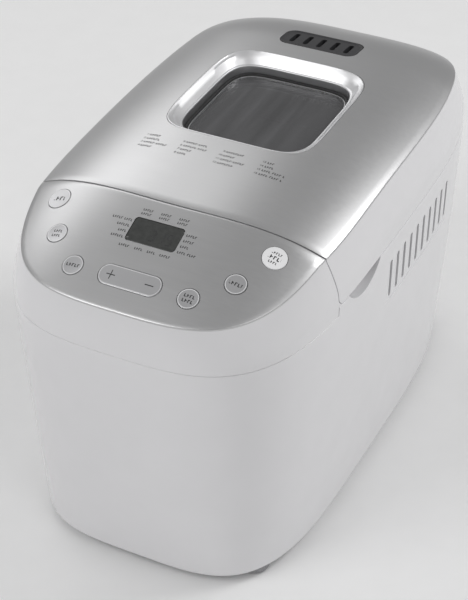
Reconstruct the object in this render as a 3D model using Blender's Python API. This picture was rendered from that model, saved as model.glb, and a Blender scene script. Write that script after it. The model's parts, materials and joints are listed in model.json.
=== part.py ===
"""A two-paddle bread machine with a domed hinged lid, as separate pieces.

Units are metres. The origin is on the floor under the middle of the machine, +Z is up, the control
panel faces -Y and +X is the right side seen from the front. The outer skin is one smooth surface,
given by a few formulas, and the casing pieces are cut from it, so their edges line up.
"""

import math

import bmesh
import bpy
from mathutils import Matrix, Vector

MM = 0.001

# Outer skin: the rim is the edge of the silver top, the belt is the widest line below it.
RIM_HALF_WIDTH = 119 * MM
FRONT_REACH = 176 * MM
BACK_REACH = 234 * MM
MID_Y = (FRONT_REACH - BACK_REACH) / 2
FRONT_ROUNDNESS = 3.36
BACK_ROUNDNESS = 4.25
FLARE = 8.4 * MM
BELT_DROP = 33.5 * MM
BASE_HALF_WIDTH = 114 * MM
BASE_FRONT_REACH = 179.5 * MM
BASE_BACK_REACH = 218 * MM
BASE_FRONT_ROUNDNESS = 3.85
BASE_BACK_ROUNDNESS = 4.06
TAPER_POWER = 1.44
BODY_BOTTOM = 7 * MM
BOTTOM_EDGE = 4 * MM

# Top surface: an arched lid, a sloping control panel and sides that roll off.
SEAM_Y = -117.2 * MM
SEAM_Z = 279.9 * MM
SEAM_BOW = 7.5 * MM
SEAM_END_Y = SEAM_Y + SEAM_BOW
SEAM_LEAN = 0.12
SEAM_GAP = 1.0 * MM
LID_SLOPE = 0.086
LID_ARCH = 0.293
LID_ROLL = 3.4
ROLL_START_Y = 125.7 * MM
PANEL_SLOPE = 0.296
PANEL_ARCH = 1.1
CROWN = 19.6 * MM
CROWN_GROWTH = 2.3
CROWN_POWER = 3.41

# Casing
GAP = 0.3 * MM
WALL = 2.5 * MM
SHEET = 1.4 * MM
SHEET_GAP = 0.4 * MM
PART_Z = 219 * MM
CREASE_Z = 211 * MM
DECK_BOTTOM = 211 * MM
DECK_TOP = 214 * MM
ARC_POINTS = 25
SEAM_POINTS = 6
PATCH_SCALES = (0.82, 0.45)

# Lid hinge
HINGE_Y = 208.5 * MM
HINGE_Z = 217 * MM
KNUCKLE_RADIUS = 4.5 * MM
PIN_RADIUS = 2 * MM
FRAME_KNUCKLE = (40 * MM, 52 * MM)
LID_KNUCKLE = (52.5 * MM, 62 * MM)

# Oven, pan and drive
OVEN_Y = 35 * MM
OVEN_HALF = (92 * MM, 135 * MM)
OVEN_FLOOR = 62 * MM
OVEN_WALL = 1.5 * MM
PAN_HALF = (66 * MM, 113 * MM)
PAN_BOTTOM = 84 * MM
PAN_TOP = 196 * MM
PAN_WALL = 1.6 * MM
SHAFT_RADIUS = 4 * MM
SHAFT_YS = {"a": -20 * MM, "b": 90 * MM}
MOTOR_Y = -160 * MM
CHASSIS_Z = 48 * MM
RUNNING_GAP = 0.4 * MM
BAIL_PIVOT_Z = 180 * MM
BAIL_REACH = 60 * MM
BAIL_REST = math.radians(19.5)

# Controls: middle and radius of each round key, then the display and the rocker.
KEYS = {
    "key_menu": (-88 * MM, -131.2 * MM, 9.1 * MM),
    "key_start": (88 * MM, -131.2 * MM, 9.1 * MM),
    "key_loaf_size": (-72.5 * MM, -160.7 * MM, 8 * MM),
    "key_colour": (72.5 * MM, -160.7 * MM, 8 * MM),
    "key_dough": (-46.6 * MM, -182.3 * MM, 8 * MM),
    "key_home_made": (46.6 * MM, -182.3 * MM, 8 * MM),
}
ROCKER_Y = -182 * MM
ROCKER_HALF = (25 * MM, 7.6 * MM)
KEY_PROUD = 0.3 * MM
KEY_DEPTH = 3 * MM
KEY_SIDES = 14
DISPLAY_Y = -144.5 * MM
DISPLAY_HALF = (20 * MM, 9.8 * MM)

# Window and vent in the lid
WINDOW_Y = 32.6 * MM
WINDOW_HALF = (63 * MM, 65.3 * MM)
WINDOW_ROUNDNESS = 5.4
WINDOW_SLOPE_IN = 11 * MM
GLASS_TOP = 268 * MM
VENT_Y = 132.6 * MM
VENT_HALF = (34 * MM, 13.9 * MM)

# Louvres and finger scoops in the sides
LOUVRES = 10
LOUVRE_START_Y = -12.8 * MM
LOUVRE_PITCH = 13 * MM
LOUVRE_WIDTH = 4.4 * MM
LOUVRE_BOTTOM = 165.2 * MM
LOUVRE_HEIGHT = 34.4 * MM
SCOOP_Y = -62.5 * MM
SCOOP_HALF = 27 * MM
SCOOP_DEPTH = 13 * MM


def clear_scene():
    for old in list(bpy.data.objects):
        bpy.data.objects.remove(old, do_unlink=True)


def make_material(name, colour, roughness, metallic=0.0):
    material = bpy.data.materials.new(name)
    material.use_nodes = True
    shader = material.node_tree.nodes["Principled BSDF"]
    shader.inputs["Base Color"].default_value = (*colour, 1.0)
    shader.inputs["Roughness"].default_value = roughness
    shader.inputs["Metallic"].default_value = metallic
    return material


# ---------------------------------------------------------------- the outer skin


def signed_power(value, exponent):
    return math.copysign(abs(value) ** exponent, value)


def superellipse(angle, half_width, front, back, n_front, n_back, middle=MID_Y):
    cosine, sine = math.cos(angle), math.sin(angle)
    power, reach = (n_front, front) if sine < 0 else (n_back, back)
    return Vector((half_width * signed_power(cosine, 2 / power),
                   middle + reach * signed_power(sine, 2 / power)))


def rim_point(angle, grow=0.0):
    return superellipse(angle, RIM_HALF_WIDTH + grow, FRONT_REACH + grow, BACK_REACH + grow,
                        FRONT_ROUNDNESS, BACK_ROUNDNESS)


def base_point(angle):
    return superellipse(angle, BASE_HALF_WIDTH, BASE_FRONT_REACH, BASE_BACK_REACH,
                        BASE_FRONT_ROUNDNESS, BASE_BACK_ROUNDNESS)


def top_z(x, y):
    """Height of the silver top above a point in plan."""
    behind = max(0.0, y - SEAM_Y)
    ahead = max(0.0, SEAM_Y - y)
    rolled = max(0.0, y - ROLL_START_Y)
    arch = LID_SLOPE * behind - LID_ARCH * behind ** 2 - LID_ROLL * rolled ** 2
    panel = PANEL_SLOPE * ahead + PANEL_ARCH * ahead ** 2
    crown = CROWN * (1 + CROWN_GROWTH * ahead) * abs(x / RIM_HALF_WIDTH) ** CROWN_POWER
    return SEAM_Z + arch - panel - crown


def top_normal(x, y):
    step = 0.5 * MM
    slope_x = (top_z(x + step, y) - top_z(x - step, y)) / (2 * step)
    slope_y = (top_z(x, y + step) - top_z(x, y - step)) / (2 * step)
    return Vector((-slope_x, -slope_y, 1)).normalized()


def wall_point(angle, z):
    """Place in plan of the outer skin at this angle round the body and this height."""
    rim, belt = rim_point(angle), rim_point(angle, FLARE)
    belt_z = top_z(*rim) - BELT_DROP
    if z >= belt_z:
        return belt.lerp(rim, min(1.0, (z - belt_z) / BELT_DROP) ** 1.5)
    share = max(0.0, (z - BODY_BOTTOM) / (belt_z - BODY_BOTTOM))
    return base_point(angle).lerp(belt, 1 - (1 - share) ** TAPER_POWER)


def side_angle(y, z):
    """Angle, on the right side ahead of the middle, where the skin passes this y."""
    low, high = -math.pi / 2, 0.0
    for _ in range(40):
        middle = (low + high) / 2
        if wall_point(middle, z).y < y:
            low = middle
        else:
            high = middle
    return low


def wall_x(y, z):
    """Half width of the skin at this y and height."""
    low, high = (-math.pi / 2, 0.0) if y < MID_Y else (0.0, math.pi / 2)
    for _ in range(40):
        middle = (low + high) / 2
        if wall_point(middle, z).y < y:
            low = middle
        else:
            high = middle
    return wall_point(low, z).x


def spread(start, end, count):
    return [start + (end - start) * i / (count - 1) for i in range(count)]


# ---------------------------------------------------------------- mesh helpers


def make_object(name, bm, material=None, origin=(0, 0, 0)):
    """Finish a closed mesh: faces outward, origin moved, round parts shaded smooth."""
    bmesh.ops.recalc_face_normals(bm, faces=bm.faces)
    bm.transform(Matrix.Translation(-Vector(origin)))
    mesh = bpy.data.meshes.new(name)
    bm.to_mesh(mesh)
    bm.free()
    mesh.shade_smooth()
    mesh.set_sharp_from_angle(angle=math.radians(35))
    thing = bpy.data.objects.new(name, mesh)
    thing.location = origin
    bpy.context.scene.collection.objects.link(thing)
    if material:
        mesh.materials.append(material)
    else:
        thing.hide_render = True
        thing.display_type = "WIRE"
    return thing


def boolean(thing, other, operation="DIFFERENCE"):
    modifier = thing.modifiers.new(f"{operation.lower()} {other.name}", "BOOLEAN")
    modifier.operation = operation
    modifier.solver = "EXACT"
    modifier.object = other


def add_chain(bm, rings, first_centre=None, last_centre=None, loop=False):
    """Skin between rings of equal length, closed at each end by a fan or an n-gon.

    A four-sided patch is split along its higher diagonal, so that two plates with the same
    plan points have the same facets and can lie a fraction of a millimetre apart.
    """
    rows = [[bm.verts.new(point) for point in ring] for ring in rings]
    pairs = list(zip(rows, rows[1:]))
    if loop:
        pairs.append((rows[-1], rows[0]))
    for below, above in pairs:
        for i, corner in enumerate(below):
            j = (i + 1) % len(below)
            patch = (corner, below[j], above[j], above[i])
            if corner.co.z + above[j].co.z < below[j].co.z + above[i].co.z:
                patch = patch[1:] + patch[:1]
            bm.faces.new((patch[0], patch[1], patch[2]))
            bm.faces.new((patch[0], patch[2], patch[3]))
    if loop:
        return
    for row, centre in ((rows[0], first_centre), (rows[-1], last_centre)):
        if centre is None:
            bm.faces.new(row)
            continue
        middle = bm.verts.new(centre)
        for i, corner in enumerate(row):
            bm.faces.new((corner, row[(i + 1) % len(row)], middle))


def chain_object(name, rings, material=None, origin=(0, 0, 0), **ends):
    bm = bmesh.new()
    add_chain(bm, rings, **ends)
    return make_object(name, bm, material, origin)


def inset(points, distance):
    """Plan points moved inwards by a distance, with mitred corners."""
    area = sum(a[0] * b[1] - b[0] * a[1] for a, b in zip(points, points[1:] + points[:1]))
    turn = math.copysign(1.0, area)
    moved = []
    for i, point in enumerate(points):
        before, after = Vector(points[i - 1][:2]), Vector(points[(i + 1) % len(points)][:2])
        here = Vector(point[:2])
        first, second = (here - before).normalized(), (after - here).normalized()
        normal_1 = Vector((-first.y, first.x)) * turn
        normal_2 = Vector((-second.y, second.x)) * turn
        mitre = (normal_1 + normal_2) / (1 + normal_1.dot(normal_2))
        spot = here + mitre * distance
        moved.append((spot.x, spot.y, *point[2:]))
    return moved


def raised(points, z):
    return [(p[0], p[1], z) for p in points]


def prism(name, points, z_low, z_high, material=None, origin=(0, 0, 0)):
    return chain_object(name, [raised(points, z_low), raised(points, z_high)], material, origin)


def ring_prism(name, outer, inner, z_low, z_high, material, origin=(0, 0, 0)):
    rings = [raised(outer, z_low), raised(outer, z_high), raised(inner, z_high),
             raised(inner, z_low)]
    return chain_object(name, rings, material, origin, loop=True)


def box(name, low, high, material=None, origin=(0, 0, 0)):
    corners = [(low[0], low[1]), (high[0], low[1]), (high[0], high[1]), (low[0], high[1])]
    return prism(name, corners, low[2], high[2], material, origin)


def circle(radius, sides=16, x=0.0, y=0.0):
    steps = [2 * math.pi * i / sides for i in range(sides)]
    return [(x + radius * math.cos(a), y + radius * math.sin(a)) for a in steps]


def rounded_box(half_x, half_y, radius, corner_points=4, y=0.0):
    """Rectangle with round corners, about (0, y)."""
    points = []
    for quarter, (side_x, side_y) in enumerate(((1, 1), (-1, 1), (-1, -1), (1, -1))):
        for i in range(corner_points):
            angle = math.pi / 2 * (quarter + i / (corner_points - 1))
            points.append((side_x * (half_x - radius) + radius * math.cos(angle),
                           y + side_y * (half_y - radius) + radius * math.sin(angle)))
    return points


def squircle(half_x, half_y, roundness, y=0.0, sides=24):
    angles = [2 * math.pi * (i + 0.5) / sides for i in range(sides)]
    return [tuple(superellipse(a, half_x, half_y, half_y, roundness, roundness, y)) for a in angles]


def lathe(name, profile, x, y, material, sides=16):
    """Turn a closed (radius, z) profile about an upright axis through (x, y)."""
    rings = [[(r * c, r * s, z) for c, s in circle(1, sides)] for r, z in profile]
    turned = chain_object(name, rings, material, loop=True)
    turned.location = (x, y, 0)
    return turned


def turned_solid(name, steps, centre, axis="Z", sides=12, material=None):
    """A stack of discs: steps are (distance along the axis, radius) pairs."""
    turn = {"X": Matrix.Rotation(math.pi / 2, 3, "Y"), "Y": Matrix.Rotation(-math.pi / 2, 3, "X"),
            "Z": Matrix.Identity(3)}[axis]
    rings = [[Vector(centre) + turn @ Vector((px, py, along)) for px, py in circle(radius, sides)]
             for along, radius in steps]
    return chain_object(name, rings, material, origin=centre)


def slab(name, edge, surface, thickness, centre, material, scales=PATCH_SCALES,
         origin=(0, 0, 0)):
    """A plate whose top follows a surface, with its edge on the given plan points."""
    middle = Vector(centre)

    def ring(scale, drop):
        spots = [middle + scale * (Vector(point[:2]) - middle) for point in edge]
        return [(p.x, p.y, surface(p.x, p.y) - drop) for p in spots]

    order = list(reversed(scales)) + [1.0]
    rings = [ring(s, 0) for s in order] + [ring(s, thickness) for s in reversed(order)]
    top = (*middle, surface(*middle))
    return chain_object(name, rings, material, origin, first_centre=top,
                        last_centre=(top[0], top[1], top[2] - thickness))


def sweep(name, path, radius, material, sides=8, origin=(0, 0, 0)):
    """A round rod along open path points."""
    path = [Vector(p) for p in path]
    rings = []
    side = Vector((0, 0, 1))
    for i, point in enumerate(path):
        along = (path[min(i + 1, len(path) - 1)] - path[max(i - 1, 0)]).normalized()
        side = (side - side.dot(along) * along)
        if side.length < 0.05:
            side = along.orthogonal()
        side.normalize()
        across = along.cross(side)
        rings.append([point + radius * (c * side + s * across) for c, s in circle(1, sides)])
    return chain_object(name, rings, material, origin)


def rounded_path(corners, radius, steps=3):
    """Path points through corners, each corner turned on an arc-like bend."""
    corners = [Vector(c) for c in corners]
    points = [corners[0]]
    for before, corner, after in zip(corners, corners[1:], corners[2:]):
        start = corner + (before - corner).normalized() * radius
        end = corner + (after - corner).normalized() * radius
        for i in range(steps + 1):
            t = i / steps
            points.append((1 - t) ** 2 * start + 2 * t * (1 - t) * corner + t ** 2 * end)
    points.append(corners[-1])
    return points


# ---------------------------------------------------------------- the casing


def skin_ring(is_lid, share, floor_z, top_drop):
    """One loop of the skin of the lid, or of the frame round the panel.

    share runs from 0 at floor_z to 1 at the rim, and the loop closes along the seam.
    """
    side = 1 if is_lid else -1
    rim_z = top_z(RIM_HALF_WIDTH, SEAM_END_Y) - top_drop
    corner_z = floor_z + share * (rim_z - floor_z)
    corner_y = SEAM_END_Y + SEAM_LEAN * (rim_z - max(corner_z, PART_Z)) + side * SEAM_GAP / 2
    start = side_angle(corner_y, corner_z)
    end = math.pi - start if is_lid else -math.pi - start
    loop = []
    for angle in spread(start, end, ARC_POINTS):
        z = floor_z + share * (top_z(*rim_point(angle)) - top_drop - floor_z)
        loop.append((*wall_point(angle, z), z))
    corner_x = loop[0][0]
    for i in range(1, SEAM_POINTS):
        x = corner_x * (2 * i / SEAM_POINTS - 1)
        y = corner_y - SEAM_BOW * (1 - (x / corner_x) ** 2)
        loop.append((x, y, floor_z + share * (top_z(x, y) - top_drop - floor_z)))
    return loop


def patch_rings(edge, centre, drop, scales):
    middle = Vector(centre)
    rings = []
    for scale in scales:
        spots = [middle + scale * (Vector(point[:2]) - middle) for point in edge]
        rings.append([(p.x, p.y, top_z(p.x, p.y) - drop) for p in spots])
    return rings


def casing_cup(name, is_lid, floor_z, centre, material):
    """A hollow cap: skin wall, domed top, and the wall along the seam, all WALL thick."""
    drop = SHEET + SHEET_GAP
    shares = (0, 0.45, 1)
    outer = [skin_ring(is_lid, share, floor_z, drop) for share in shares]
    outer[-1] = [(x, y, top_z(x, y) - drop) for x, y, _ in outer[-1]]
    inner = [inset(ring, WALL) for ring in outer]
    inner[-1] = [(x, y, top_z(x, y) - drop - WALL) for x, y, _ in inner[-1]]
    outside = outer + patch_rings(outer[-1], centre, drop, PATCH_SCALES)
    inside = inner + patch_rings(inner[-1], centre, drop + WALL, PATCH_SCALES)
    middle_z = top_z(*centre) - drop
    return chain_object(name, outside[::-1] + inside, material,
                        first_centre=(*centre, middle_z),
                        last_centre=(*centre, middle_z - WALL))


def housing_ring(heights, distance):
    """Loop of the lower housing; heights gives (front, rear) z, or one z for both."""
    front_z, rear_z = heights
    step_y = SEAM_END_Y + SEAM_LEAN * (top_z(RIM_HALF_WIDTH, SEAM_END_Y) - PART_Z)
    rear = side_angle(step_y + 0.2 * MM, rear_z)
    front = side_angle(step_y - 0.2 * MM, front_z)
    loop = [(*wall_point(a, rear_z), rear_z) for a in spread(rear, math.pi - rear, ARC_POINTS)]
    loop += [(*wall_point(a, front_z), front_z)
             for a in spread(-math.pi - front, front, ARC_POINTS - 8)]
    return inset(loop, distance)


def lower_housing(material):
    top = (CREASE_Z - GAP, PART_Z - 2 * GAP)
    levels = [(z, z) for z in (11 * MM, 75 * MM, 150 * MM)] + [top]
    outer = [housing_ring((BODY_BOTTOM, BODY_BOTTOM), BOTTOM_EDGE)]
    outer += [housing_ring(level, 0) for level in levels]
    inner = [housing_ring(level, WALL) for level in levels[::-1]]
    inner.append(housing_ring((BODY_BOTTOM, BODY_BOTTOM), BOTTOM_EDGE + WALL))
    housing = chain_object("lower_housing", outer + inner, material, loop=True)
    scoop_radius = (SCOOP_HALF ** 2 + SCOOP_DEPTH ** 2) / (2 * SCOOP_DEPTH)
    scoop_top = PART_Z - 2 * GAP
    for side, word in ((1, "right"), (-1, "left")):
        skin = wall_x(SCOOP_Y, scoop_top)
        ends = sorted((side * (skin - 12 * MM), side * (skin - 2.2 * MM)))
        pocket = box(f"scoop_pocket_{word}", (ends[0], SCOOP_Y - 31 * MM, 201 * MM),
                     (ends[1], SCOOP_Y + 31 * MM, scoop_top - 0.2 * MM))
        boolean(housing, pocket, "UNION")
        reach = sorted((side * (skin - 9.5 * MM), side * (skin + 6 * MM)))
        centre_z = scoop_top - SCOOP_DEPTH + scoop_radius
        scoop = turned_solid(f"scoop_cut_{word}",
                             [(reach[0], scoop_radius), (reach[1], scoop_radius)],
                             (0, SCOOP_Y, centre_z), "X", 32)
        boolean(housing, scoop)
        bm = bmesh.new()
        for i in range(LOUVRES):
            y = LOUVRE_START_Y + i * LOUVRE_PITCH
            half = LOUVRE_WIDTH / 2
            x = side * wall_x(y, LOUVRE_BOTTOM + LOUVRE_HEIGHT / 2)
            low, high = sorted((x - 8 * MM, x + 8 * MM))
            corners = [(low, y - half), (high, y - half), (high, y + half), (low, y + half)]
            add_chain(bm, [raised(corners, LOUVRE_BOTTOM),
                           raised(corners, LOUVRE_BOTTOM + LOUVRE_HEIGHT)])
        boolean(housing, make_object(f"louvre_cut_{word}", bm))
    boolean(housing, box("hinge_gap_cut", (-76 * MM, 195 * MM, 211.2 * MM),
                         (76 * MM, 220 * MM, 225 * MM)))
    boolean(housing, turned_solid("inlet_cut", [(0, 9.4 * MM), (30 * MM, 9.4 * MM)],
                                  (70 * MM, 176 * MM, 36 * MM), "Y", 20))
    return housing


def deck_points():
    z = (DECK_BOTTOM + DECK_TOP) / 2
    start = side_angle(-121 * MM, z)
    edge = [tuple(wall_point(a, z)) for a in spread(start, math.pi - start, ARC_POINTS)]
    return [(x, min(y, 207.3 * MM)) for x, y in inset(edge, WALL + 0.7 * MM)]


def hinge_knuckle(name, low, high, web_low, web_high):
    """A barrel on the hinge axis with the web that carries it."""
    barrel = turned_solid(name, [(low, KNUCKLE_RADIUS), (high, KNUCKLE_RADIUS)],
                          (0, HINGE_Y, HINGE_Z), "X", 16)
    web = box(f"{name}_web", (low, web_low[0], web_low[1]), (high, web_high[0], web_high[1]))
    return barrel, web


def mirrored_spans(span):
    return (("right", span[0], span[1]), ("left", -span[1], -span[0]))


def upper_frame(material):
    frame = casing_cup("upper_frame", False, CREASE_Z, (0, -158 * MM), material)
    boolean(frame, prism("deck", deck_points(), DECK_BOTTOM, DECK_TOP), "UNION")
    opening = rounded_box(OVEN_HALF[0] + 0.5 * MM, OVEN_HALF[1] + 0.5 * MM, 36 * MM, y=OVEN_Y)
    boolean(frame, prism("oven_cut", opening, 205 * MM, 220 * MM))
    for word, low, high in mirrored_spans(FRAME_KNUCKLE):
        barrel, web = hinge_knuckle(f"frame_knuckle_{word}", low, high,
                                    (200 * MM, 212 * MM), (209 * MM, 217 * MM))
        boolean(frame, web, "UNION")
        boolean(frame, barrel, "UNION")
    for word, low, high in mirrored_spans(LID_KNUCKLE):
        boolean(frame, box(f"knuckle_room_{word}", (low - 0.4 * MM, 202.6 * MM, 205 * MM),
                           (high + 0.6 * MM, 215 * MM, 225 * MM)))
    boolean(frame, bpy.data.objects["hinge_bore"])
    for word, side in (("right", 1), ("left", -1)):
        skin = wall_x(SCOOP_Y, PART_Z)
        ends = sorted((side * (skin - 12.5 * MM), side * (skin + 2 * MM)))
        boolean(frame, box(f"pocket_room_{word}", (ends[0], SCOOP_Y - 31.5 * MM, 205 * MM),
                           (ends[1], SCOOP_Y + 31.5 * MM, 218 * MM)))
    boolean(frame, bpy.data.objects["key_cuts"])
    boolean(frame, bpy.data.objects["display_cut"])
    return frame


def lid_shell(material):
    shell = casing_cup("lid_shell", True, PART_Z, (0, 40 * MM), material)
    for word, low, high in mirrored_spans(FRAME_KNUCKLE):
        boolean(shell, box(f"frame_knuckle_room_{word}", (low - 0.6 * MM, 201 * MM, 210 * MM),
                           (high + 0.4 * MM, 218 * MM, 223 * MM)))
    for word, low, high in mirrored_spans(LID_KNUCKLE):
        barrel, web = hinge_knuckle(f"lid_knuckle_{word}", low, high,
                                    (205 * MM, 217 * MM), (209.5 * MM, 228 * MM))
        boolean(shell, web, "UNION")
        boolean(shell, barrel, "UNION")
    boolean(shell, bpy.data.objects["hinge_bore"])
    boolean(shell, bpy.data.objects["window_cut"])
    boolean(shell, bpy.data.objects["vent_cut"])
    return shell


def casing_cutters():
    """Cutters that more than one casing piece uses."""
    bm = bmesh.new()
    for x, y, radius in KEYS.values():
        normal = top_normal(x, y)
        turn = Vector((0, 0, 1)).rotation_difference(normal).to_matrix()
        centre = Vector((x, y, top_z(x, y)))
        rings = [[centre + turn @ Vector((px, py, along))
                  for px, py in circle(radius + RUNNING_GAP, KEY_SIDES)] for along in (-12 * MM, 6 * MM)]
        add_chain(bm, rings)
    pill = rocker_points(RUNNING_GAP)
    z = top_z(0, ROCKER_Y)
    add_chain(bm, [raised(pill, z - 15 * MM), raised(pill, z + 8 * MM)])
    make_object("key_cuts", bm)
    z = top_z(0, DISPLAY_Y)
    prism("display_cut", display_points(GAP), z - 16 * MM, z + 10 * MM)
    prism("window_cut", squircle(WINDOW_HALF[0] + GAP, WINDOW_HALF[1] + GAP, WINDOW_ROUNDNESS,
                                 WINDOW_Y), 250 * MM, 300 * MM)
    prism("vent_cut", rounded_box(VENT_HALF[0] + GAP, VENT_HALF[1] + GAP, 9 * MM, y=VENT_Y),
          255 * MM, 300 * MM)
    bore = PIN_RADIUS + RUNNING_GAP
    turned_solid("hinge_bore", [(-63 * MM, bore), (63 * MM, bore)], (0, HINGE_Y, HINGE_Z), "X", 12)


def silver_sheets(silver):
    edge = skin_ring(True, 1, PART_Z, SHEET + SHEET_GAP)
    sheet = slab("lid_top_sheet", edge, top_z, SHEET, (0, 40 * MM), silver)
    boolean(sheet, bpy.data.objects["window_cut"])
    boolean(sheet, bpy.data.objects["vent_cut"])
    edge = skin_ring(False, 1, CREASE_Z, SHEET + SHEET_GAP)
    panel = slab("control_panel", edge, top_z, SHEET, (0, -158 * MM), silver)
    boolean(panel, bpy.data.objects["key_cuts"])
    boolean(panel, bpy.data.objects["display_cut"])


def base_pieces(white, rubber, steel):
    edge = [tuple(base_point(a)) for a in spread(0, 2 * math.pi, 41)[:-1]]
    plate = prism("base_plate", inset(edge, BOTTOM_EDGE + WALL + 1 * MM), 7.3 * MM, 9.8 * MM, white)
    feet = [(x * MM, y * MM) for y in (-170, 148) for x in (-84, 84)]
    words = ("front_left", "front_right", "rear_left", "rear_right")
    for word, (x, y) in zip(words, feet):
        turned_solid(f"foot_{word}", [(0, 10.5 * MM), (1.5 * MM, 12 * MM), (6.7 * MM, 12 * MM),
                                      (6.7 * MM, 6 * MM), (7 * MM, 6 * MM)],
                     (x, y, 0), sides=16, material=rubber)
        post_x, post_y = math.copysign(62 * MM, x), -150 * MM if y < 0 else 130 * MM
        post = turned_solid(f"post_{word}", [(8 * MM, 5 * MM), (CHASSIS_Z - GAP, 5 * MM)],
                            (post_x, post_y, 0), sides=12)
        boolean(plate, post, "UNION")
        hole = turned_solid(f"screw_hole_{word}", [(5 * MM, 2.2 * MM), (34 * MM, 2.2 * MM)],
                            (post_x, post_y, 0), sides=12)
        boolean(plate, hole)
        turned_solid(f"base_screw_{word}",
                     [(4 * MM, 3.6 * MM), (7 * MM, 3.6 * MM), (7 * MM, 1.8 * MM),
                      (30 * MM, 1.8 * MM)], (post_x, post_y, 0), sides=12, material=steel)


# ---------------------------------------------------------------- controls


def pill_points(half_x, half_y, y, steps=5):
    """A bar with half-round ends."""
    points = []
    for side, start in ((1, -math.pi / 2), (-1, math.pi / 2)):
        for i in range(steps + 1):
            angle = start + math.pi * i / steps
            points.append((side * (half_x - half_y) + half_y * math.cos(angle),
                           y + half_y * math.sin(angle)))
    return points


def rocker_points(grow=0.0):
    return pill_points(ROCKER_HALF[0] + grow, ROCKER_HALF[1] + grow, ROCKER_Y)


def display_points(grow=0.0):
    return rounded_box(DISPLAY_HALF[0] + grow, DISPLAY_HALF[1] + grow, 3 * MM, 4, DISPLAY_Y)


def controls(silver, white, smoked, board_green, plastic):
    for name, (x, y, radius) in KEYS.items():
        colour = white if name == "key_start" else silver
        key = turned_solid(name, [(-12.5 * MM, 2 * MM), (-KEY_DEPTH, 2 * MM), (-KEY_DEPTH, radius),
                                  (KEY_PROUD, radius)], (0, 0, 0), sides=KEY_SIDES,
                           material=colour)
        key.location = (x, y, top_z(x, y))
        key.rotation_mode = "QUATERNION"
        key.rotation_quaternion = Vector((0, 0, 1)).rotation_difference(top_normal(x, y))
    slab("key_plus_minus", rocker_points(), lambda x, y: top_z(x, y) + KEY_PROUD, KEY_DEPTH,
         (0, ROCKER_Y), silver, scales=(0.6,), origin=(0, ROCKER_Y, top_z(0, ROCKER_Y) - 2 * MM))
    slab("lcd_lens", display_points(), lambda x, y: top_z(x, y) - 0.2 * MM, 2 * MM,
         (0, DISPLAY_Y), smoked, scales=(0.6,))
    tilt = math.atan(PANEL_SLOPE + 2 * PANEL_ARCH * (SEAM_Y - DISPLAY_Y))
    module = box("lcd_module", (-21 * MM, -11 * MM, -11 * MM), (21 * MM, 11 * MM, -6 * MM), plastic)
    module.location = (0, DISPLAY_Y, top_z(0, DISPLAY_Y))
    module.rotation_euler = (tilt, 0, 0)
    middle_y = -155 * MM
    board = box("control_board", (-84 * MM, -30 * MM, -0.8 * MM), (84 * MM, 30 * MM, 0.8 * MM),
                board_green)
    board.location = (0, middle_y, top_z(0, middle_y) - 24 * MM)
    board.rotation_euler = (math.radians(21), 0, 0)


# ---------------------------------------------------------------- window and vent in the lid


def window_frame_ring(step_in, z=None, drop=0.0):
    points = squircle(WINDOW_HALF[0] - step_in, WINDOW_HALF[1] - step_in, WINDOW_ROUNDNESS, WINDOW_Y)
    return [(x, y, top_z(x, y) - drop if z is None else z) for x, y in points]


def lid_inside(silver, black, glass, steel, dark):
    low = GLASS_TOP + GAP
    rings = [window_frame_ring(0, drop=3 * MM), window_frame_ring(0),
             window_frame_ring(1.5 * MM, drop=0.6 * MM),
             window_frame_ring(WINDOW_SLOPE_IN, low + 2.5 * MM),
             window_frame_ring(WINDOW_SLOPE_IN, low),
             window_frame_ring(WINDOW_SLOPE_IN - 3 * MM, low)]
    chain_object("window_bezel", rings, silver, loop=True)
    pane = squircle(WINDOW_HALF[0] - WINDOW_SLOPE_IN + 2 * MM, WINDOW_HALF[1] - WINDOW_SLOPE_IN
                    + 2 * MM, WINDOW_ROUNDNESS, WINDOW_Y)
    prism("window_glass", pane, GLASS_TOP - 3 * MM, GLASS_TOP, glass)
    outer = inset(pane, -3 * MM)
    ring_prism("window_seal", outer, inset(pane, 5 * MM), GLASS_TOP - 8 * MM,
               GLASS_TOP - 3 * MM - GAP, black)
    liner = rounded_box(104 * MM, 142 * MM, 40 * MM, 6, OVEN_Y + 3 * MM)
    floor, lip = 226 * MM, 238 * MM
    inner_edge = inset(liner, 1.2 * MM)
    tray_rings = [raised(liner, floor), raised(liner, lip), raised(inner_edge, lip),
                  raised(inner_edge, floor + 1.2 * MM)]
    liner_plate = chain_object("inner_lid", tray_rings, steel)
    opening = rounded_box(54 * MM, 56 * MM, 14 * MM, y=WINDOW_Y)
    boolean(liner_plate, prism("inner_window_cut", opening, 220 * MM, 232 * MM))
    prism("inner_glass", inset(opening, GAP), 225.6 * MM, 228.6 * MM, glass)
    edge = rounded_box(VENT_HALF[0], VENT_HALF[1], 9 * MM, y=VENT_Y)
    vent = slab("vent_grille", edge, lambda x, y: top_z(x, y) - 0.5 * MM, 5 * MM, (0, VENT_Y), dark,
                scales=(0.6,))
    bm = bmesh.new()
    for i in range(5):
        slot = pill_points(8.2 * MM, 2.2 * MM, 0, 3)
        x = (i - 2) * 12 * MM
        upright = [(x + py, VENT_Y + px) for px, py in slot]
        add_chain(bm, [raised(upright, 270 * MM), raised(upright, 295 * MM)])
    boolean(vent, make_object("vent_slot_cuts", bm))


# ---------------------------------------------------------------- oven, pan and paddles


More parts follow.
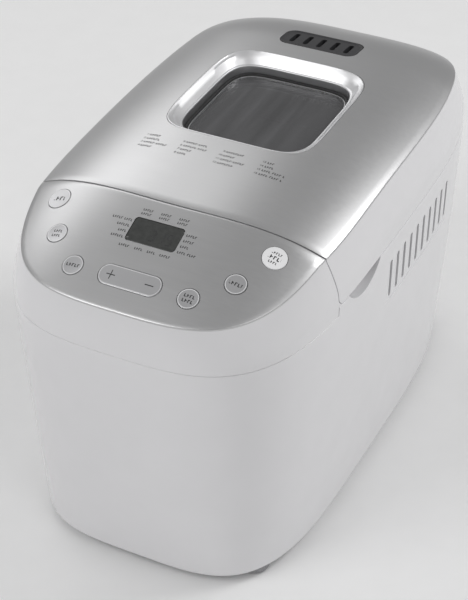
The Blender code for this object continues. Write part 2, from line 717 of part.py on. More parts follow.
def oven(aluminium, steel, dark):
    outer = rounded_box(*OVEN_HALF, 36 * MM, y=OVEN_Y)
    inner = inset(outer, OVEN_WALL)
    flange = inset(outer, -6 * MM)
    top = DECK_TOP + GAP + 1.2 * MM
    rings = [raised(inset(outer, 4 * MM), OVEN_FLOOR),
             raised(outer, OVEN_FLOOR + 4 * MM), raised(outer, DECK_TOP + GAP),
             raised(flange, DECK_TOP + GAP), raised(flange, top), raised(inner, top),
             raised(inner, OVEN_FLOOR + 4 * MM + OVEN_WALL / 2),
             raised(inset(inner, 3.4 * MM), OVEN_FLOOR + OVEN_WALL)]
    chamber = chain_object("oven_chamber", rings, aluminium)
    bm = bmesh.new()
    for y in SHAFT_YS.values():
        hole = circle(9.6 * MM, 20, 0, y)
        add_chain(bm, [raised(hole, 55 * MM), raised(hole, 70 * MM)])
    boolean(chamber, make_object("shaft_cuts", bm))
    front = OVEN_Y - OVEN_HALF[1]
    for word, x, z in (("left", -14 * MM, 78 * MM), ("right", 14 * MM, 78 * MM),
                       ("sensor", 45 * MM, 110 * MM)):
        boolean(chamber, turned_solid(f"wall_hole_{word}", [(-6 * MM, 4 * MM), (8 * MM, 4 * MM)],
                                      (x, front, z), "Y", 12))
    z = 78 * MM
    half_x, half_y = 79 * MM, 123 * MM
    corners = [(-14 * MM, front - 12 * MM, z), (-14 * MM, OVEN_Y - half_y, z),
               (-half_x, OVEN_Y - half_y, z), (-half_x, OVEN_Y + half_y, z),
               (half_x, OVEN_Y + half_y, z), (half_x, OVEN_Y - half_y, z),
               (14 * MM, OVEN_Y - half_y, z), (14 * MM, front - 12 * MM, z)]
    path = rounded_path(corners[:3], 8 * MM)[:-1] + rounded_path(corners[1:7], 26 * MM)[1:-1]
    path += rounded_path(corners[5:], 8 * MM)[1:]
    sweep("heating_element", path, 3.2 * MM, steel, 6)
    turned_solid("temperature_sensor", [(-16 * MM, 5 * MM), (-4 * MM, 5 * MM), (-4 * MM, 3.4 * MM),
                                        (12 * MM, 3.4 * MM)], (45 * MM, front, 110 * MM), "Y", 12,
                 dark)


def pan_seat(aluminium):
    """Oval ring on the oven floor that the pan stands on, round both couplings."""
    outer = rounded_box(25 * MM, 81 * MM, 24 * MM, 6, OVEN_Y)
    ring_prism("pan_seat", outer, inset(outer, 2 * MM), OVEN_FLOOR + OVEN_WALL + GAP,
               PAN_BOTTOM - GAP, aluminium)


def bread_pan(coated):
    foot = 4 * MM
    top = rounded_box(*PAN_HALF, 24 * MM, y=OVEN_Y)
    bottom = inset(top, foot)
    rings = [raised(inset(bottom, 4 * MM), PAN_BOTTOM), raised(bottom, PAN_BOTTOM + 4 * MM),
             raised(top, PAN_TOP - 3 * MM), raised(inset(top, -2.5 * MM), PAN_TOP - 3 * MM),
             raised(inset(top, -2.5 * MM), PAN_TOP), raised(inset(top, PAN_WALL), PAN_TOP),
             raised(inset(bottom, PAN_WALL), PAN_BOTTOM + 4 * MM + PAN_WALL / 2),
             raised(inset(bottom, 4 * MM + PAN_WALL), PAN_BOTTOM + PAN_WALL)]
    pan = chain_object("bread_pan", rings, coated, origin=(0, OVEN_Y, PAN_BOTTOM))
    for word, y in SHAFT_YS.items():
        boss = turned_solid(f"pan_boss_{word}", [(-3 * MM, 13 * MM), (9 * MM, 11 * MM)],
                            (0, y, PAN_BOTTOM), sides=20)
        boolean(pan, boss, "UNION")
        bore = turned_solid(f"pan_bore_{word}", [(-8 * MM, SHAFT_RADIUS + RUNNING_GAP),
                                                 (14 * MM, SHAFT_RADIUS + RUNNING_GAP)],
                            (0, y, PAN_BOTTOM), sides=24)
        boolean(pan, bore)
    for word, side in (("front", -1), ("rear", 1)):
        wall = OVEN_Y + side * (PAN_HALF[1] - 0.5 * MM)
        ends = sorted((-side * 1.5 * MM, side * 8.5 * MM))
        ear = turned_solid(f"pan_ear_{word}", [(ends[0], 3 * MM), (ends[1], 3 * MM)],
                           (0, wall, BAIL_PIVOT_Z), "Y", 12)
        boolean(pan, ear, "UNION")


def pan_handle(steel):
    """Wire bail that lies over the pan's right edge, pivoted on the two ears."""
    eye = OVEN_Y - PAN_HALF[1] - 5.6 * MM
    reach_x = BAIL_REACH * math.cos(BAIL_REST)
    reach_z = BAIL_REACH * math.sin(BAIL_REST)
    near, far = eye, 2 * OVEN_Y - eye
    start = 4.6 * MM
    share = start / BAIL_REACH
    corners = [(reach_x * share, near, BAIL_PIVOT_Z + reach_z * share),
               (reach_x, near, BAIL_PIVOT_Z + reach_z), (reach_x, far, BAIL_PIVOT_Z + reach_z),
               (reach_x * share, far, BAIL_PIVOT_Z + reach_z * share)]
    pivot = (0, OVEN_Y, BAIL_PIVOT_Z)
    handle = sweep("pan_handle", rounded_path(corners, 14 * MM), 2.2 * MM, steel, 6, origin=pivot)
    for word, y in (("front", near), ("rear", far)):
        ring = [[(r * c, 0, r * s) for c, s in circle(1, 16)] for r in (3.4 * MM, 6 * MM)]
        rings = [[(x, y + along, BAIL_PIVOT_Z + z) for x, _, z in ring[k]]
                 for k, along in ((1, -1.6 * MM), (1, 1.6 * MM), (0, 1.6 * MM), (0, -1.6 * MM))]
        boolean(handle, chain_object(f"bail_eye_{word}", rings, loop=True), "UNION")


def pan_drive(coated, steel):
    """Shaft with its wing coupling under the pan, and the paddle keyed on the shaft."""
    for word, y in SHAFT_YS.items():
        low = PAN_BOTTOM - 3 * MM
        shaft = turned_solid(f"pan_shaft_{word}",
                             [(low - 6 * MM, 6 * MM), (low - 0.5 * MM, 6 * MM),
                              (low - 0.5 * MM, SHAFT_RADIUS), (PAN_BOTTOM + 30 * MM, SHAFT_RADIUS)],
                             (0, y, 0), sides=24, material=steel)
        wing = box(f"pan_wing_{word}", (-15 * MM, y - 2.5 * MM, low - 6 * MM),
                   (15 * MM, y + 2.5 * MM, low - 1 * MM))
        boolean(shaft, wing, "UNION")
        hub_low = PAN_BOTTOM + 10 * MM
        hub = SHAFT_RADIUS + RUNNING_GAP
        profile = [(9 * MM, hub_low), (8 * MM, hub_low + 24 * MM), (hub, hub_low + 24 * MM),
                   (hub, hub_low)]
        paddle = lathe(f"kneading_paddle_{word}", profile, 0, y, coated)
        blade_points = [(7 * MM, -3 * MM), (34 * MM, -2 * MM), (36 * MM, 0), (34 * MM, 2 * MM),
                        (7 * MM, 3 * MM)]
        blade = prism(f"paddle_blade_{word}", [(px, y + py) for px, py in blade_points],
                      hub_low + 0.5 * MM, hub_low + 20 * MM)
        boolean(paddle, blade, "UNION")


# ---------------------------------------------------------------- drive under the oven


def belt_points(first, second, grow, steps=12):
    """Closed loop round two pulleys, each (y, radius), with its flats clear of the pulleys."""
    (y_1, r_1), (y_2, r_2) = first, second
    lean = math.asin((r_1 - r_2) / (y_2 - y_1))
    points = []
    for y, radius, start, end in (
        (y_1, r_1 + grow, math.pi - lean, 2 * math.pi + lean),
        (y_2, r_2 + grow, lean, math.pi - lean),
    ):
        outward = radius / math.cos((end - start) / (steps - 1) / 2)
        points += [(outward * math.cos(a), y + outward * math.sin(a))
                   for a in spread(start, end, steps)]
    return points


def drive(steel, aluminium, plastic, rubber, brass):
    plate_low, plate_high = CHASSIS_Z, CHASSIS_Z + 1.5 * MM
    chassis = prism("chassis_plate", rounded_box(84 * MM, 170 * MM, 12 * MM, 4, -14 * MM),
                    plate_low, plate_high, steel)
    bm = bmesh.new()
    for y in (*SHAFT_YS.values(), MOTOR_Y):
        radius = 6.5 * MM if y == MOTOR_Y else 8.4 * MM
        add_chain(bm, [raised(circle(radius, 20, 0, y), 40 * MM),
                       raised(circle(radius, 20, 0, y), 56 * MM)])
    boolean(chassis, make_object("chassis_cuts", bm))
    bore = SHAFT_RADIUS + RUNNING_GAP
    big, small, tiny = 40 * MM, 17 * MM, 9 * MM
    upper, lower = (30 * MM, 39 * MM), (15 * MM, 24 * MM)
    for word, y in SHAFT_YS.items():
        tube, flange = 8 * MM, 16 * MM
        profile = [(tube, 43 * MM), (tube, plate_high + GAP), (flange, plate_high + GAP),
                   (flange, plate_high + 3 * MM), (tube + 1 * MM, plate_high + 3 * MM),
                   (tube + 1 * MM, 66 * MM), (bore, 66 * MM), (bore, 43 * MM)]
        lathe(f"bearing_housing_{word}", profile, 0, y, brass)
        turned_solid(f"drive_shaft_{word}", [(12.5 * MM, SHAFT_RADIUS), (71 * MM, SHAFT_RADIUS)],
                     (0, y, 0), sides=24, material=steel)
        groove = 1.2 * MM
        wheel = [(small + groove, lower[0] - 1 * MM), (small + groove, lower[0]),
                 (small, lower[0]), (small, lower[1]), (small + groove, lower[1]),
                 (small + groove, lower[1] + 1 * MM)]
        if word == "a":
            wheel += [(11 * MM, lower[1] + 1 * MM), (11 * MM, upper[0] - 1 * MM),
                      (big + groove, upper[0] - 1 * MM), (big + groove, upper[0]),
                      (big, upper[0]), (big, upper[1]), (big + groove, upper[1]),
                      (big + groove, upper[1] + 1 * MM)]
        inner = SHAFT_RADIUS + GAP
        wheel += [(inner, wheel[-1][1]), (inner, lower[0] - 1 * MM)]
        lathe(f"drive_pulley_{word}", wheel, 0, y, plastic, 18)
        disc = [(15 * MM, 67 * MM), (15 * MM, 69.5 * MM), (inner, 69.5 * MM), (inner, 67 * MM)]
        coupling = lathe(f"drive_coupling_{word}", disc, 0, y, steel)
        for side in (-1, 1):
            dog = turned_solid(f"dog_{word}_{side + 1}", [(69 * MM, 2.2 * MM), (80 * MM, 2.2 * MM)],
                               (0, y + side * 10.5 * MM, 0), sides=12)
            boolean(coupling, dog, "UNION")
    reach = GAP + 1.5 * MM
    belts = (("primary_belt", (MOTOR_Y, tiny), (SHAFT_YS["a"], big), upper),
             ("secondary_belt", (SHAFT_YS["a"], small), (SHAFT_YS["b"], small), lower))
    for name, first, second, level in belts:
        ring_prism(name, belt_points(first, second, reach), belt_points(first, second, GAP),
                   level[0] + 0.7 * MM, level[1] - 0.7 * MM, rubber)
    pulley = [(tiny + 1.2 * MM, upper[0] - 1 * MM), (tiny + 1.2 * MM, upper[0]), (tiny, upper[0]),
              (tiny, upper[1]), (tiny + 1.2 * MM, upper[1]), (tiny + 1.2 * MM, upper[1] + 1 * MM),
              (3.3 * MM, upper[1] + 1 * MM), (3.3 * MM, upper[0] - 1 * MM)]
    lathe("motor_pulley", pulley, 0, MOTOR_Y, aluminium)
    turned_solid("motor_shaft", [(27 * MM, 3 * MM), (118 * MM, 3 * MM)], (0, MOTOR_Y, 0), sides=16,
                 material=steel)
    motor_low = plate_high + GAP
    motor = turned_solid("drive_motor", [(motor_low, 14 * MM), (motor_low + 10 * MM, 30 * MM),
                                         (motor_low + 50 * MM, 30 * MM),
                                         (motor_low + 60 * MM, 14 * MM)],
                         (0, MOTOR_Y, 0), sides=20, material=steel)
    stack = box("stator_stack", (-34 * MM, MOTOR_Y - 30 * MM, motor_low + 14 * MM),
                (34 * MM, MOTOR_Y + 30 * MM, motor_low + 40 * MM))
    boolean(motor, stack, "UNION")
    room = turned_solid("rotor_room", [(motor_low - 5 * MM, 3.5 * MM), (motor_low + 70 * MM,
                                                                       3.5 * MM)],
                        (0, MOTOR_Y, 0), sides=16)
    boolean(motor, room)


def electrics(board_green, black, plastic):
    box("power_board", (60 * MM, -165 * MM, 60 * MM), (61.6 * MM, -110 * MM, 150 * MM), board_green)
    turned_solid("motor_capacitor", [(0, 13 * MM), (36 * MM, 13 * MM)], (-66 * MM, -135 * MM, 60 * MM),
                 sides=20, material=black)
    gland_y = 178 * MM
    back = wall_point(math.pi / 2, 36 * MM).y
    gland = turned_solid("cord_inlet", [(0, 9 * MM), (back - gland_y + 4 * MM, 9 * MM)],
                         (70 * MM, gland_y, 36 * MM), "Y", 20, plastic)
    boolean(gland, turned_solid("inlet_bore", [(-5 * MM, 4 * MM), (40 * MM, 4 * MM)],
                                (70 * MM, gland_y, 36 * MM), "Y", 16))


def hinge_pins(steel):
    for word, low, high in mirrored_spans((41 * MM, 61.5 * MM)):
        turned_solid(f"hinge_pin_{word}", [(low, PIN_RADIUS), (high, PIN_RADIUS)],
                     (0, HINGE_Y, HINGE_Z), "X", 12, steel)


def build():
    clear_scene()
    white = make_material("gloss_white", (0.86, 0.86, 0.87), 0.25)
    silver = make_material("satin_silver", (0.72, 0.72, 0.73), 0.35, 1.0)
    steel = make_material("steel", (0.6, 0.6, 0.62), 0.35, 1.0)
    aluminium = make_material("aluminium", (0.75, 0.75, 0.76), 0.4, 1.0)
    coated = make_material("non_stick", (0.07, 0.07, 0.075), 0.45)
    dark = make_material("dark_grey", (0.09, 0.09, 0.1), 0.5)
    black = make_material("black_rubber", (0.03, 0.03, 0.03), 0.7)
    rubber = make_material("grey_rubber", (0.35, 0.35, 0.36), 0.7)
    glass = make_material("smoked_glass", (0.2, 0.2, 0.21), 0.08)
    green = make_material("circuit_board", (0.05, 0.25, 0.1), 0.5)
    brass = make_material("brass", (0.7, 0.55, 0.3), 0.4, 1.0)
    casing_cutters()
    lower_housing(white)
    upper_frame(white)
    lid_shell(white)
    silver_sheets(silver)
    base_pieces(white, rubber, steel)
    controls(silver, white, glass, green, dark)
    lid_inside(silver, black, glass, steel, dark)
    oven(aluminium, steel, dark)
    pan_seat(aluminium)
    bread_pan(coated)
    pan_handle(steel)
    pan_drive(coated, steel)
    drive(steel, aluminium, dark, black, brass)
    electrics(green, black, dark)
    hinge_pins(steel)


build()
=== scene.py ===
# %% [markdown]
# # A two-paddle bread machine, finished for display
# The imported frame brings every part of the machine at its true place: casing, lid, keys, oven, pan and
# drive. This lesson keeps that frame fixed and rebuilds what the eye meets first, with finer meshes and
# with finishes made of shader nodes. Each step says what the real piece is and why it is made this way.

# %% Load the frame
import json
import math

import bmesh
import bpy
from mathutils import Matrix, Vector

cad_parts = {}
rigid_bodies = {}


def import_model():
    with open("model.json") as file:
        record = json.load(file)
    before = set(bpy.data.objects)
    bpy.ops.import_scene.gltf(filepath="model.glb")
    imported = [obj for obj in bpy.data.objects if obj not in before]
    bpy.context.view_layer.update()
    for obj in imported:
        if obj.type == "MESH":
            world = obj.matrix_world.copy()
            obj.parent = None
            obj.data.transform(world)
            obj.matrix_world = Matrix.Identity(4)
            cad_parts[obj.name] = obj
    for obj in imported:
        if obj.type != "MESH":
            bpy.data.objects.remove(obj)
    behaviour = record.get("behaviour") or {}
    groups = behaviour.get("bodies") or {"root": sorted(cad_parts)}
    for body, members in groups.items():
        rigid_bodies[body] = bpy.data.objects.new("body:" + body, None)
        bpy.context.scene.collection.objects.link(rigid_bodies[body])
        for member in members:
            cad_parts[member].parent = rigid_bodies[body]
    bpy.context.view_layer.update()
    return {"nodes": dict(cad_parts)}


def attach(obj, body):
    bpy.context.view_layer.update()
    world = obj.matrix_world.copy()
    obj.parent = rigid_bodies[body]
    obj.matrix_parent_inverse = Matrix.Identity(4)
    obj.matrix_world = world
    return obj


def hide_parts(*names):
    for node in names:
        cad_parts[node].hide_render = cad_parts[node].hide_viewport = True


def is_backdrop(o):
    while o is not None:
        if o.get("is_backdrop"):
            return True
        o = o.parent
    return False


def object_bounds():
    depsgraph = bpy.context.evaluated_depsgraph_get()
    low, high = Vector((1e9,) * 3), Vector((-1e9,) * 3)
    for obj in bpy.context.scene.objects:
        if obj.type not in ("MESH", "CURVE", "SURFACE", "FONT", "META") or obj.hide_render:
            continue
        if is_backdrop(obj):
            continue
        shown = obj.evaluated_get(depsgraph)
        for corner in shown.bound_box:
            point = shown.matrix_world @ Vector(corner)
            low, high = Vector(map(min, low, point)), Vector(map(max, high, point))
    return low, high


MM = 0.001
for old in list(bpy.data.objects):
    bpy.data.objects.remove(old)
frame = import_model()

# %% [markdown]
# ## Arithmetic on shader sockets
# A finish on a real appliance is never one number: paint has a fine orange peel, sheet metal has a grain.
# Those patterns are sums and products of textures. Wiring each Math node by hand is slow to write and hard
# to read, so one small class lets a socket take part in a Python expression.


# %% Sockets that add, subtract and multiply
def add_node(tree, kind, settings=None, inputs=None, output=0):
    """A node with its settings made first, then its sockets given values or links."""
    made = tree.nodes.new(kind)
    for key, value in (settings or {}).items():
        if key == "stops":
            for element, (place, shade) in zip(made.color_ramp.elements, value):
                element.position, element.color = place, (*shade, 1.0)
        else:
            setattr(made, key, value)
    for key, value in (inputs or {}).items():
        value = getattr(value, "socket", value)
        if isinstance(value, bpy.types.NodeSocket):
            tree.links.new(value, made.inputs[key])
        else:
            made.inputs[key].default_value = value
    return made.outputs[output]


class Field:
    """A socket of a finish; arithmetic on it adds Math nodes."""

    def __init__(self, finish, socket):
        self.finish, self.socket = finish, socket

    def math(self, operation, first, second=0.0):
        return self.finish.node("ShaderNodeMath", {"operation": operation}, {0: first, 1: second})

    def __add__(self, other):
        return self.math("ADD", self, other)

    def __sub__(self, other):
        return self.math("SUBTRACT", self, other)

    def __rsub__(self, other):
        return self.math("SUBTRACT", other, self)

    def __mul__(self, other):
        return self.math("MULTIPLY", self, other)

    __radd__, __rmul__ = __add__, __mul__


class Finish:
    """One material: uniform numbers go straight on its shader, patterns are fed through fields."""

    def __init__(self, name, colour, roughness, metallic=0.0, **numbers):
        self.material = bpy.data.materials.new(name)
        self.material.use_nodes = True
        self.tree = self.material.node_tree
        self.shader = self.tree.nodes["Principled BSDF"]
        self.shader.inputs["Base Color"].default_value = (*colour, 1.0)
        self.shader.inputs["Roughness"].default_value = roughness
        self.shader.inputs["Metallic"].default_value = metallic
        for key, value in numbers.items():
            self.shader.inputs[key.replace("_", " ").title()].default_value = value

    def node(self, *details, **choice):
        return Field(self, add_node(self.tree, *details, **choice))

    def place(self, scale=(1, 1, 1)):
        """The piece's own coordinates, stretched by a scale for each axis."""
        own = self.node("ShaderNodeTexCoord", output="Object")
        return self.node("ShaderNodeMapping", {}, {"Vector": own, "Scale": scale})

    def noise(self, per_metre, detail=2.0, stretch=(1, 1, 1)):
        return self.node("ShaderNodeTexNoise", {},
                         {"Vector": self.place(stretch), "Scale": per_metre, "Detail": detail})

    def feed(self, socket, field):
        self.tree.links.new(field.socket, self.shader.inputs[socket])
        return self

    def shades(self, field, dark, light):
        """Base colour between two colours."""
        ramp = self.node("ShaderNodeValToRGB", {"stops": ((0.3, dark), (0.7, light))}, {0: field})
        return self.feed("Base Color", ramp)

    def relief(self, height, depth, strength=1.0):
        bump = self.node("ShaderNodeBump", {}, {"Height": height, "Distance": depth,
                                                "Strength": strength})
        return self.feed("Normal", bump)


print("finish helpers ready")

# %% [markdown]
# ## Finishes
# The casing is glossy white plastic, so it gets a soft coat and an orange peel a few tenths of a millimetre
# wide. The top is satin silver: a metal with a fine grain drawn along the width of the machine, made by
# stretching noise. The window frame is a brighter metal without a grain. Every other finish follows
# the same plan: a mean colour, a pattern at its real scale, and a shallow bump.


# %% Casing and trim finishes
def plastic(name, colour, roughness, peel=1500.0, **numbers):
    """A faint orange peel and slow changes of gloss: moulded plastic, lacquer or fine plated metal."""
    made = Finish(name, colour, roughness, **numbers)
    slow = made.noise(35.0, 3.0)
    made.feed("Roughness", slow * 0.08 + (roughness - 0.04))
    lighter = tuple(min(1.0, c * 1.015 + 0.002) for c in colour)
    made.shades(slow, colour, lighter)
    return made.relief(made.noise(peel, 2.0), 0.02 * MM, 0.35).material


def drawn_metal(name, colour, roughness, stretch, grain=420.0, depth=0.005, **numbers):
    """Metal whose surface was brushed along one axis."""
    made = Finish(name, colour, roughness, 1.0, **numbers)
    lines = made.noise(grain, 4.0, stretch)
    cloud = made.noise(14.0, 2.0)
    made.feed("Roughness", lines * 0.07 + cloud * 0.05 + (roughness - 0.06))
    darker = tuple(c * 0.975 for c in colour)
    made.shades(lines, darker, colour)
    return made.relief(lines, depth * MM, 0.6).material


def mottled(name, colour, roughness, dark, light, per_metre, detail=3.0, depth=0.0, strength=0.7,
            **numbers):
    """A finish whose shade varies between two colours, with a relief where it has a depth."""
    made = Finish(name, colour, roughness, **numbers)
    pattern = made.noise(per_metre, detail)
    made.shades(pattern, dark, light)
    return (made.relief(pattern, depth, strength) if depth else made).material


ACROSS, UPRIGHT = (0.04, 1.6, 1.6), (1.6, 1.6, 0.04)
gloss_white = plastic("gloss_white", (0.79, 0.785, 0.80), 0.24, coat_weight=0.35, coat_roughness=0.1)
satin_silver = drawn_metal("satin_silver", (0.61, 0.61, 0.615), 0.36, ACROSS)
bright_silver = plastic("bright_silver", (0.82, 0.82, 0.83), 0.42, peel=900.0, metallic=1.0)
# The frame's silver again, painted darker: painted shade for the recessed step of the window frame.
shaded_step_silver = plastic("shaded_step_silver", (0.42, 0.42, 0.43), 0.34, peel=900.0, metallic=1.0)
key_silver = plastic("key_silver", (0.56, 0.56, 0.57), 0.34, peel=2600.0, metallic=0.75)
key_white = plastic("key_white", (0.86, 0.86, 0.87), 0.3, peel=2600.0)
print("finishes:", len(bpy.data.materials))

# %% Glass, rubber, print and dark plastic finishes
textured_dark = mottled("textured_dark", (0.045, 0.045, 0.048), 0.55, (0.02, 0.02, 0.022),
                        (0.045, 0.045, 0.048), 2200.0, depth=0.06 * MM)
seal_rubber = mottled("seal_rubber", (0.018, 0.018, 0.019), 0.6, (0.012, 0.012, 0.013),
                      (0.035, 0.035, 0.036), 500.0, 4.0)
foot_rubber = mottled("foot_rubber", (0.30, 0.30, 0.31), 0.7, (0.25, 0.25, 0.26), (0.38, 0.38, 0.39), 700.0)
display_face = mottled("display_face", (0.05, 0.052, 0.05), 0.12, (0.032, 0.034, 0.032),
                       (0.048, 0.050, 0.048), 300.0, coat_weight=0.6, coat_roughness=0.05)
ink_grey = mottled("ink_grey", (0.02, 0.02, 0.021), 0.5, (0.015, 0.015, 0.016), (0.03, 0.03, 0.031),
                   4000.0, 2.0)
ink_white = mottled("ink_white", (0.86, 0.86, 0.87), 0.4, (0.82, 0.82, 0.83), (0.9, 0.9, 0.91), 4000.0, 2.0)

smoked_glass = Finish("smoked_glass", (0.05, 0.05, 0.052), 0.06, alpha=0.62, coat_weight=0.5,
                      coat_roughness=0.03)
# Stretched noise paints light streaks of reflection into the glass colour, and it also varies the glass's
# roughness.
haze_and_painted_streaks = smoked_glass.noise(60.0, 3.0, (1.8, 0.12, 1.0))
smoked_glass.shades(haze_and_painted_streaks, (0.085, 0.085, 0.088), (0.14, 0.14, 0.145))
smoked_glass = smoked_glass.feed("Roughness", haze_and_painted_streaks * 0.12 + 0.03).material
smoked_glass.surface_render_method = "BLENDED"
print("finishes:", len(bpy.data.materials))

# %% [markdown]
# ## Finishes inside the machine
# Oven and inner lid are rolled aluminium, the pan and paddles carry a speckled non-stick coat, and the
# drive under the oven is steel, nylon, rubber and bronze. They show when the lid is open or when a part is
# looked at alone, so they are as finished as the casing.

# %% Inner finishes
rolled_aluminium = drawn_metal("rolled_aluminium", (0.62, 0.62, 0.63), 0.38, UPRIGHT, grain=180.0)
bright_steel = drawn_metal("bright_steel", (0.60, 0.60, 0.62), 0.28, ACROSS, grain=400.0)
galvanised = Finish("galvanised", (0.5, 0.51, 0.53), 0.45, 1.0)
spangle = galvanised.node("ShaderNodeTexVoronoi", {}, {"Vector": galvanised.place(), "Scale": 160.0})
galvanised.shades(spangle * 0.9, (0.42, 0.44, 0.46), (0.62, 0.63, 0.65))
galvanised = galvanised.feed("Roughness", spangle * 0.25 + 0.32).material

non_stick = mottled("non_stick", (0.05, 0.05, 0.053), 0.4, (0.028, 0.028, 0.03), (0.10, 0.10, 0.105),
                    1300.0, 4.0, 0.03 * MM, 0.6, coat_weight=0.25, coat_roughness=0.3)
bronze = drawn_metal("bronze", (0.55, 0.38, 0.18), 0.4, ACROSS, grain=500.0)
nylon = plastic("nylon", (0.06, 0.06, 0.065), 0.5)
belt_rubber = Finish("belt_rubber", (0.02, 0.02, 0.021), 0.75)
ribs = belt_rubber.noise(300.0, 2.0, (0.2, 0.2, 8.0))
belt_rubber = belt_rubber.shades(ribs, (0.014, 0.014, 0.015), (0.04, 0.04, 0.041)).relief(
    ribs, 0.1 * MM, 0.8).material

board_green = Finish("board_green", (0.02, 0.16, 0.06), 0.35, coat_weight=0.4)
copper_runs = board_green.node("ShaderNodeTexBrick", {}, {
    "Vector": board_green.place((1, 1, 1)), "Scale": 90.0, "Mortar Size": 0.06,
    "Color1": (0.015, 0.13, 0.05, 1), "Color2": (0.02, 0.17, 0.065, 1),
    "Mortar": (0.06, 0.30, 0.12, 1)})
board_green = board_green.feed("Base Color", copper_runs).material
heater_sheath = mottled("heater_sheath", (0.16, 0.15, 0.145), 0.5, (0.10, 0.095, 0.10), (0.26, 0.23, 0.20),
                        50.0, metallic=0.8)
print("finishes:", len(bpy.data.materials))

# %% Give every node of the frame its finish
NODE_FINISHES = {
    gloss_white: ("lower_housing", "upper_frame", "lid_shell", "base_plate"),
    satin_silver: ("lid_top_sheet", "control_panel"),
    bright_silver: ("window_bezel",),
    smoked_glass: ("window_glass", "inner_glass"),
    key_silver: ("key_menu", "key_loaf_size", "key_colour", "key_dough", "key_home_made",
                 "key_plus_minus"),
    key_white: ("key_start",),
    display_face: ("lcd_lens",),
    textured_dark: ("vent_grille",),
    seal_rubber: ("window_seal",),
    foot_rubber: ("foot_front_left", "foot_front_right", "foot_rear_left", "foot_rear_right"),
    rolled_aluminium: ("inner_lid", "oven_chamber", "pan_seat", "motor_pulley"),
    non_stick: ("bread_pan", "kneading_paddle_a", "kneading_paddle_b"),
    bright_steel: ("pan_handle", "pan_shaft_a", "pan_shaft_b", "drive_shaft_a", "drive_shaft_b",
                   "drive_coupling_a", "drive_coupling_b", "motor_shaft", "hinge_pin_left",
                   "hinge_pin_right", "base_screw_front_left", "base_screw_front_right",
                   "base_screw_rear_left", "base_screw_rear_right"),
    heater_sheath: ("heating_element",),
    galvanised: ("chassis_plate", "drive_motor"),
    bronze: ("bearing_housing_a", "bearing_housing_b"),
    nylon: ("drive_pulley_a", "drive_pulley_b", "lcd_module", "temperature_sensor", "cord_inlet",
            "motor_capacitor"),
    belt_rubber: ("primary_belt", "secondary_belt"),
    board_green: ("control_board", "power_board"),
}
finished = {name: surface for surface, names in NODE_FINISHES.items() for name in names}
for name, node in frame["nodes"].items():
    node.data.materials.clear()
    node.data.materials.append(finished[name])
print("nodes with a finish:", len(finished), "of", len(frame["nodes"]))

# %% [markdown]
# ## One skin for the whole casing
# The outside of the machine is one smooth surface. In plan it is a superellipse, a rounded oblong that is
# fuller at the back than at the front. From the floor it widens to a belt, then leans in to the rim of the
# silver top. The same formulas give every edge, so neighbouring pieces meet without a step. The numbers
# are the frame's own, in millimetres.

# %% Outline in plan
RIM_HALF_WIDTH, RIM_FRONT, RIM_BACK, MID_Y = 119 * MM, 176 * MM, 234 * MM, -29 * MM
RIM_ROUNDNESS = (3.36, 4.25)
BASE_HALF_WIDTH, BASE_FRONT, BASE_BACK = 114 * MM, 179.5 * MM, 218 * MM
BASE_ROUNDNESS = (3.85, 4.06)
FLARE, BELT_DROP, TAPER_POWER, BODY_BOTTOM = 8.4 * MM, 33.5 * MM, 1.44, 7 * MM


def signed_power(value, exponent):
    return math.copysign(abs(value) ** exponent, value)


def superellipse(angle, half_width, front, back, roundness, middle=MID_Y):
    """Point in plan; roundness is (front, back), and 2 would be an ellipse."""
    cosine, sine = math.cos(angle), math.sin(angle)
    power, reach = (roundness[0], front) if sine < 0 else (roundness[1], back)
    return Vector((half_width * signed_power(cosine, 2 / power),
                   middle + reach * signed_power(sine, 2 / power)))


def even_angle(direction, roundness):
    """Superellipse angle seen in this direction, so that equal steps give equal spacing."""
    cosine, sine = math.cos(direction), math.sin(direction)
    power = roundness[0] if sine < 0 else roundness[1]
    return math.atan2(signed_power(sine, power / 2), signed_power(cosine, power / 2))


def direction_of(angle, roundness):
    power = roundness[0] if math.sin(angle) < 0 else roundness[1]
    return math.atan2(signed_power(math.sin(angle), 2 / power),
                      signed_power(math.cos(angle), 2 / power))


def spread(start, end, count):
    return [start + (end - start) * i / (count - 1) for i in range(count)]


def skin_angles(start, end, count):
    """Angles round the skin from start to end with even spacing; both ends are kept."""
    turn = 2 * math.pi
    first = direction_of(start, RIM_ROUNDNESS)
    last = direction_of(end, RIM_ROUNDNESS)
    while end > start and last <= first:
        last += turn
    while end < start and last >= first:
        last -= turn
    return [even_angle(d, RIM_ROUNDNESS) for d in spread(first, last, count)]


print("rim corner point in mm:", [round(v / MM, 1) for v in
                                  superellipse(0.8, RIM_HALF_WIDTH, RIM_FRONT, RIM_BACK, RIM_ROUNDNESS)])

# %% Height of the top, and the wall below it
SEAM_Y, SEAM_Z, SEAM_BOW, SEAM_GAP, SEAM_LEAN = -117.2 * MM, 279.9 * MM, 7.5 * MM, 1.0 * MM, 0.12
SEAM_END_Y = SEAM_Y + SEAM_BOW
CROWN, CROWN_GROWTH, CROWN_POWER = 19.6 * MM, 2.3, 3.41
PART_Z, CREASE_Z, GAP, WALL = 219 * MM, 211 * MM, 0.3 * MM, 2.5 * MM
SHEET, SHEET_GAP = 1.4 * MM, 0.4 * MM


def top_z(x, y):
    """Height of the silver top: arched lid, sloping panel, rolled-off sides."""
    behind, ahead = max(0.0, y - SEAM_Y), max(0.0, SEAM_Y - y)
    rolled = max(0.0, y - 125.7 * MM)
    arch = 0.086 * behind - 0.293 * behind ** 2 - 3.4 * rolled ** 2
    panel = 0.296 * ahead + 1.1 * ahead ** 2
    crown = CROWN * (1 + CROWN_GROWTH * ahead) * abs(x / RIM_HALF_WIDTH) ** CROWN_POWER
    return SEAM_Z + arch - panel - crown


def top_normal(x, y, step=0.5 * MM):
    slope_x = (top_z(x + step, y) - top_z(x - step, y)) / (2 * step)
    slope_y = (top_z(x, y + step) - top_z(x, y - step)) / (2 * step)
    return Vector((-slope_x, -slope_y, 1)).normalized()


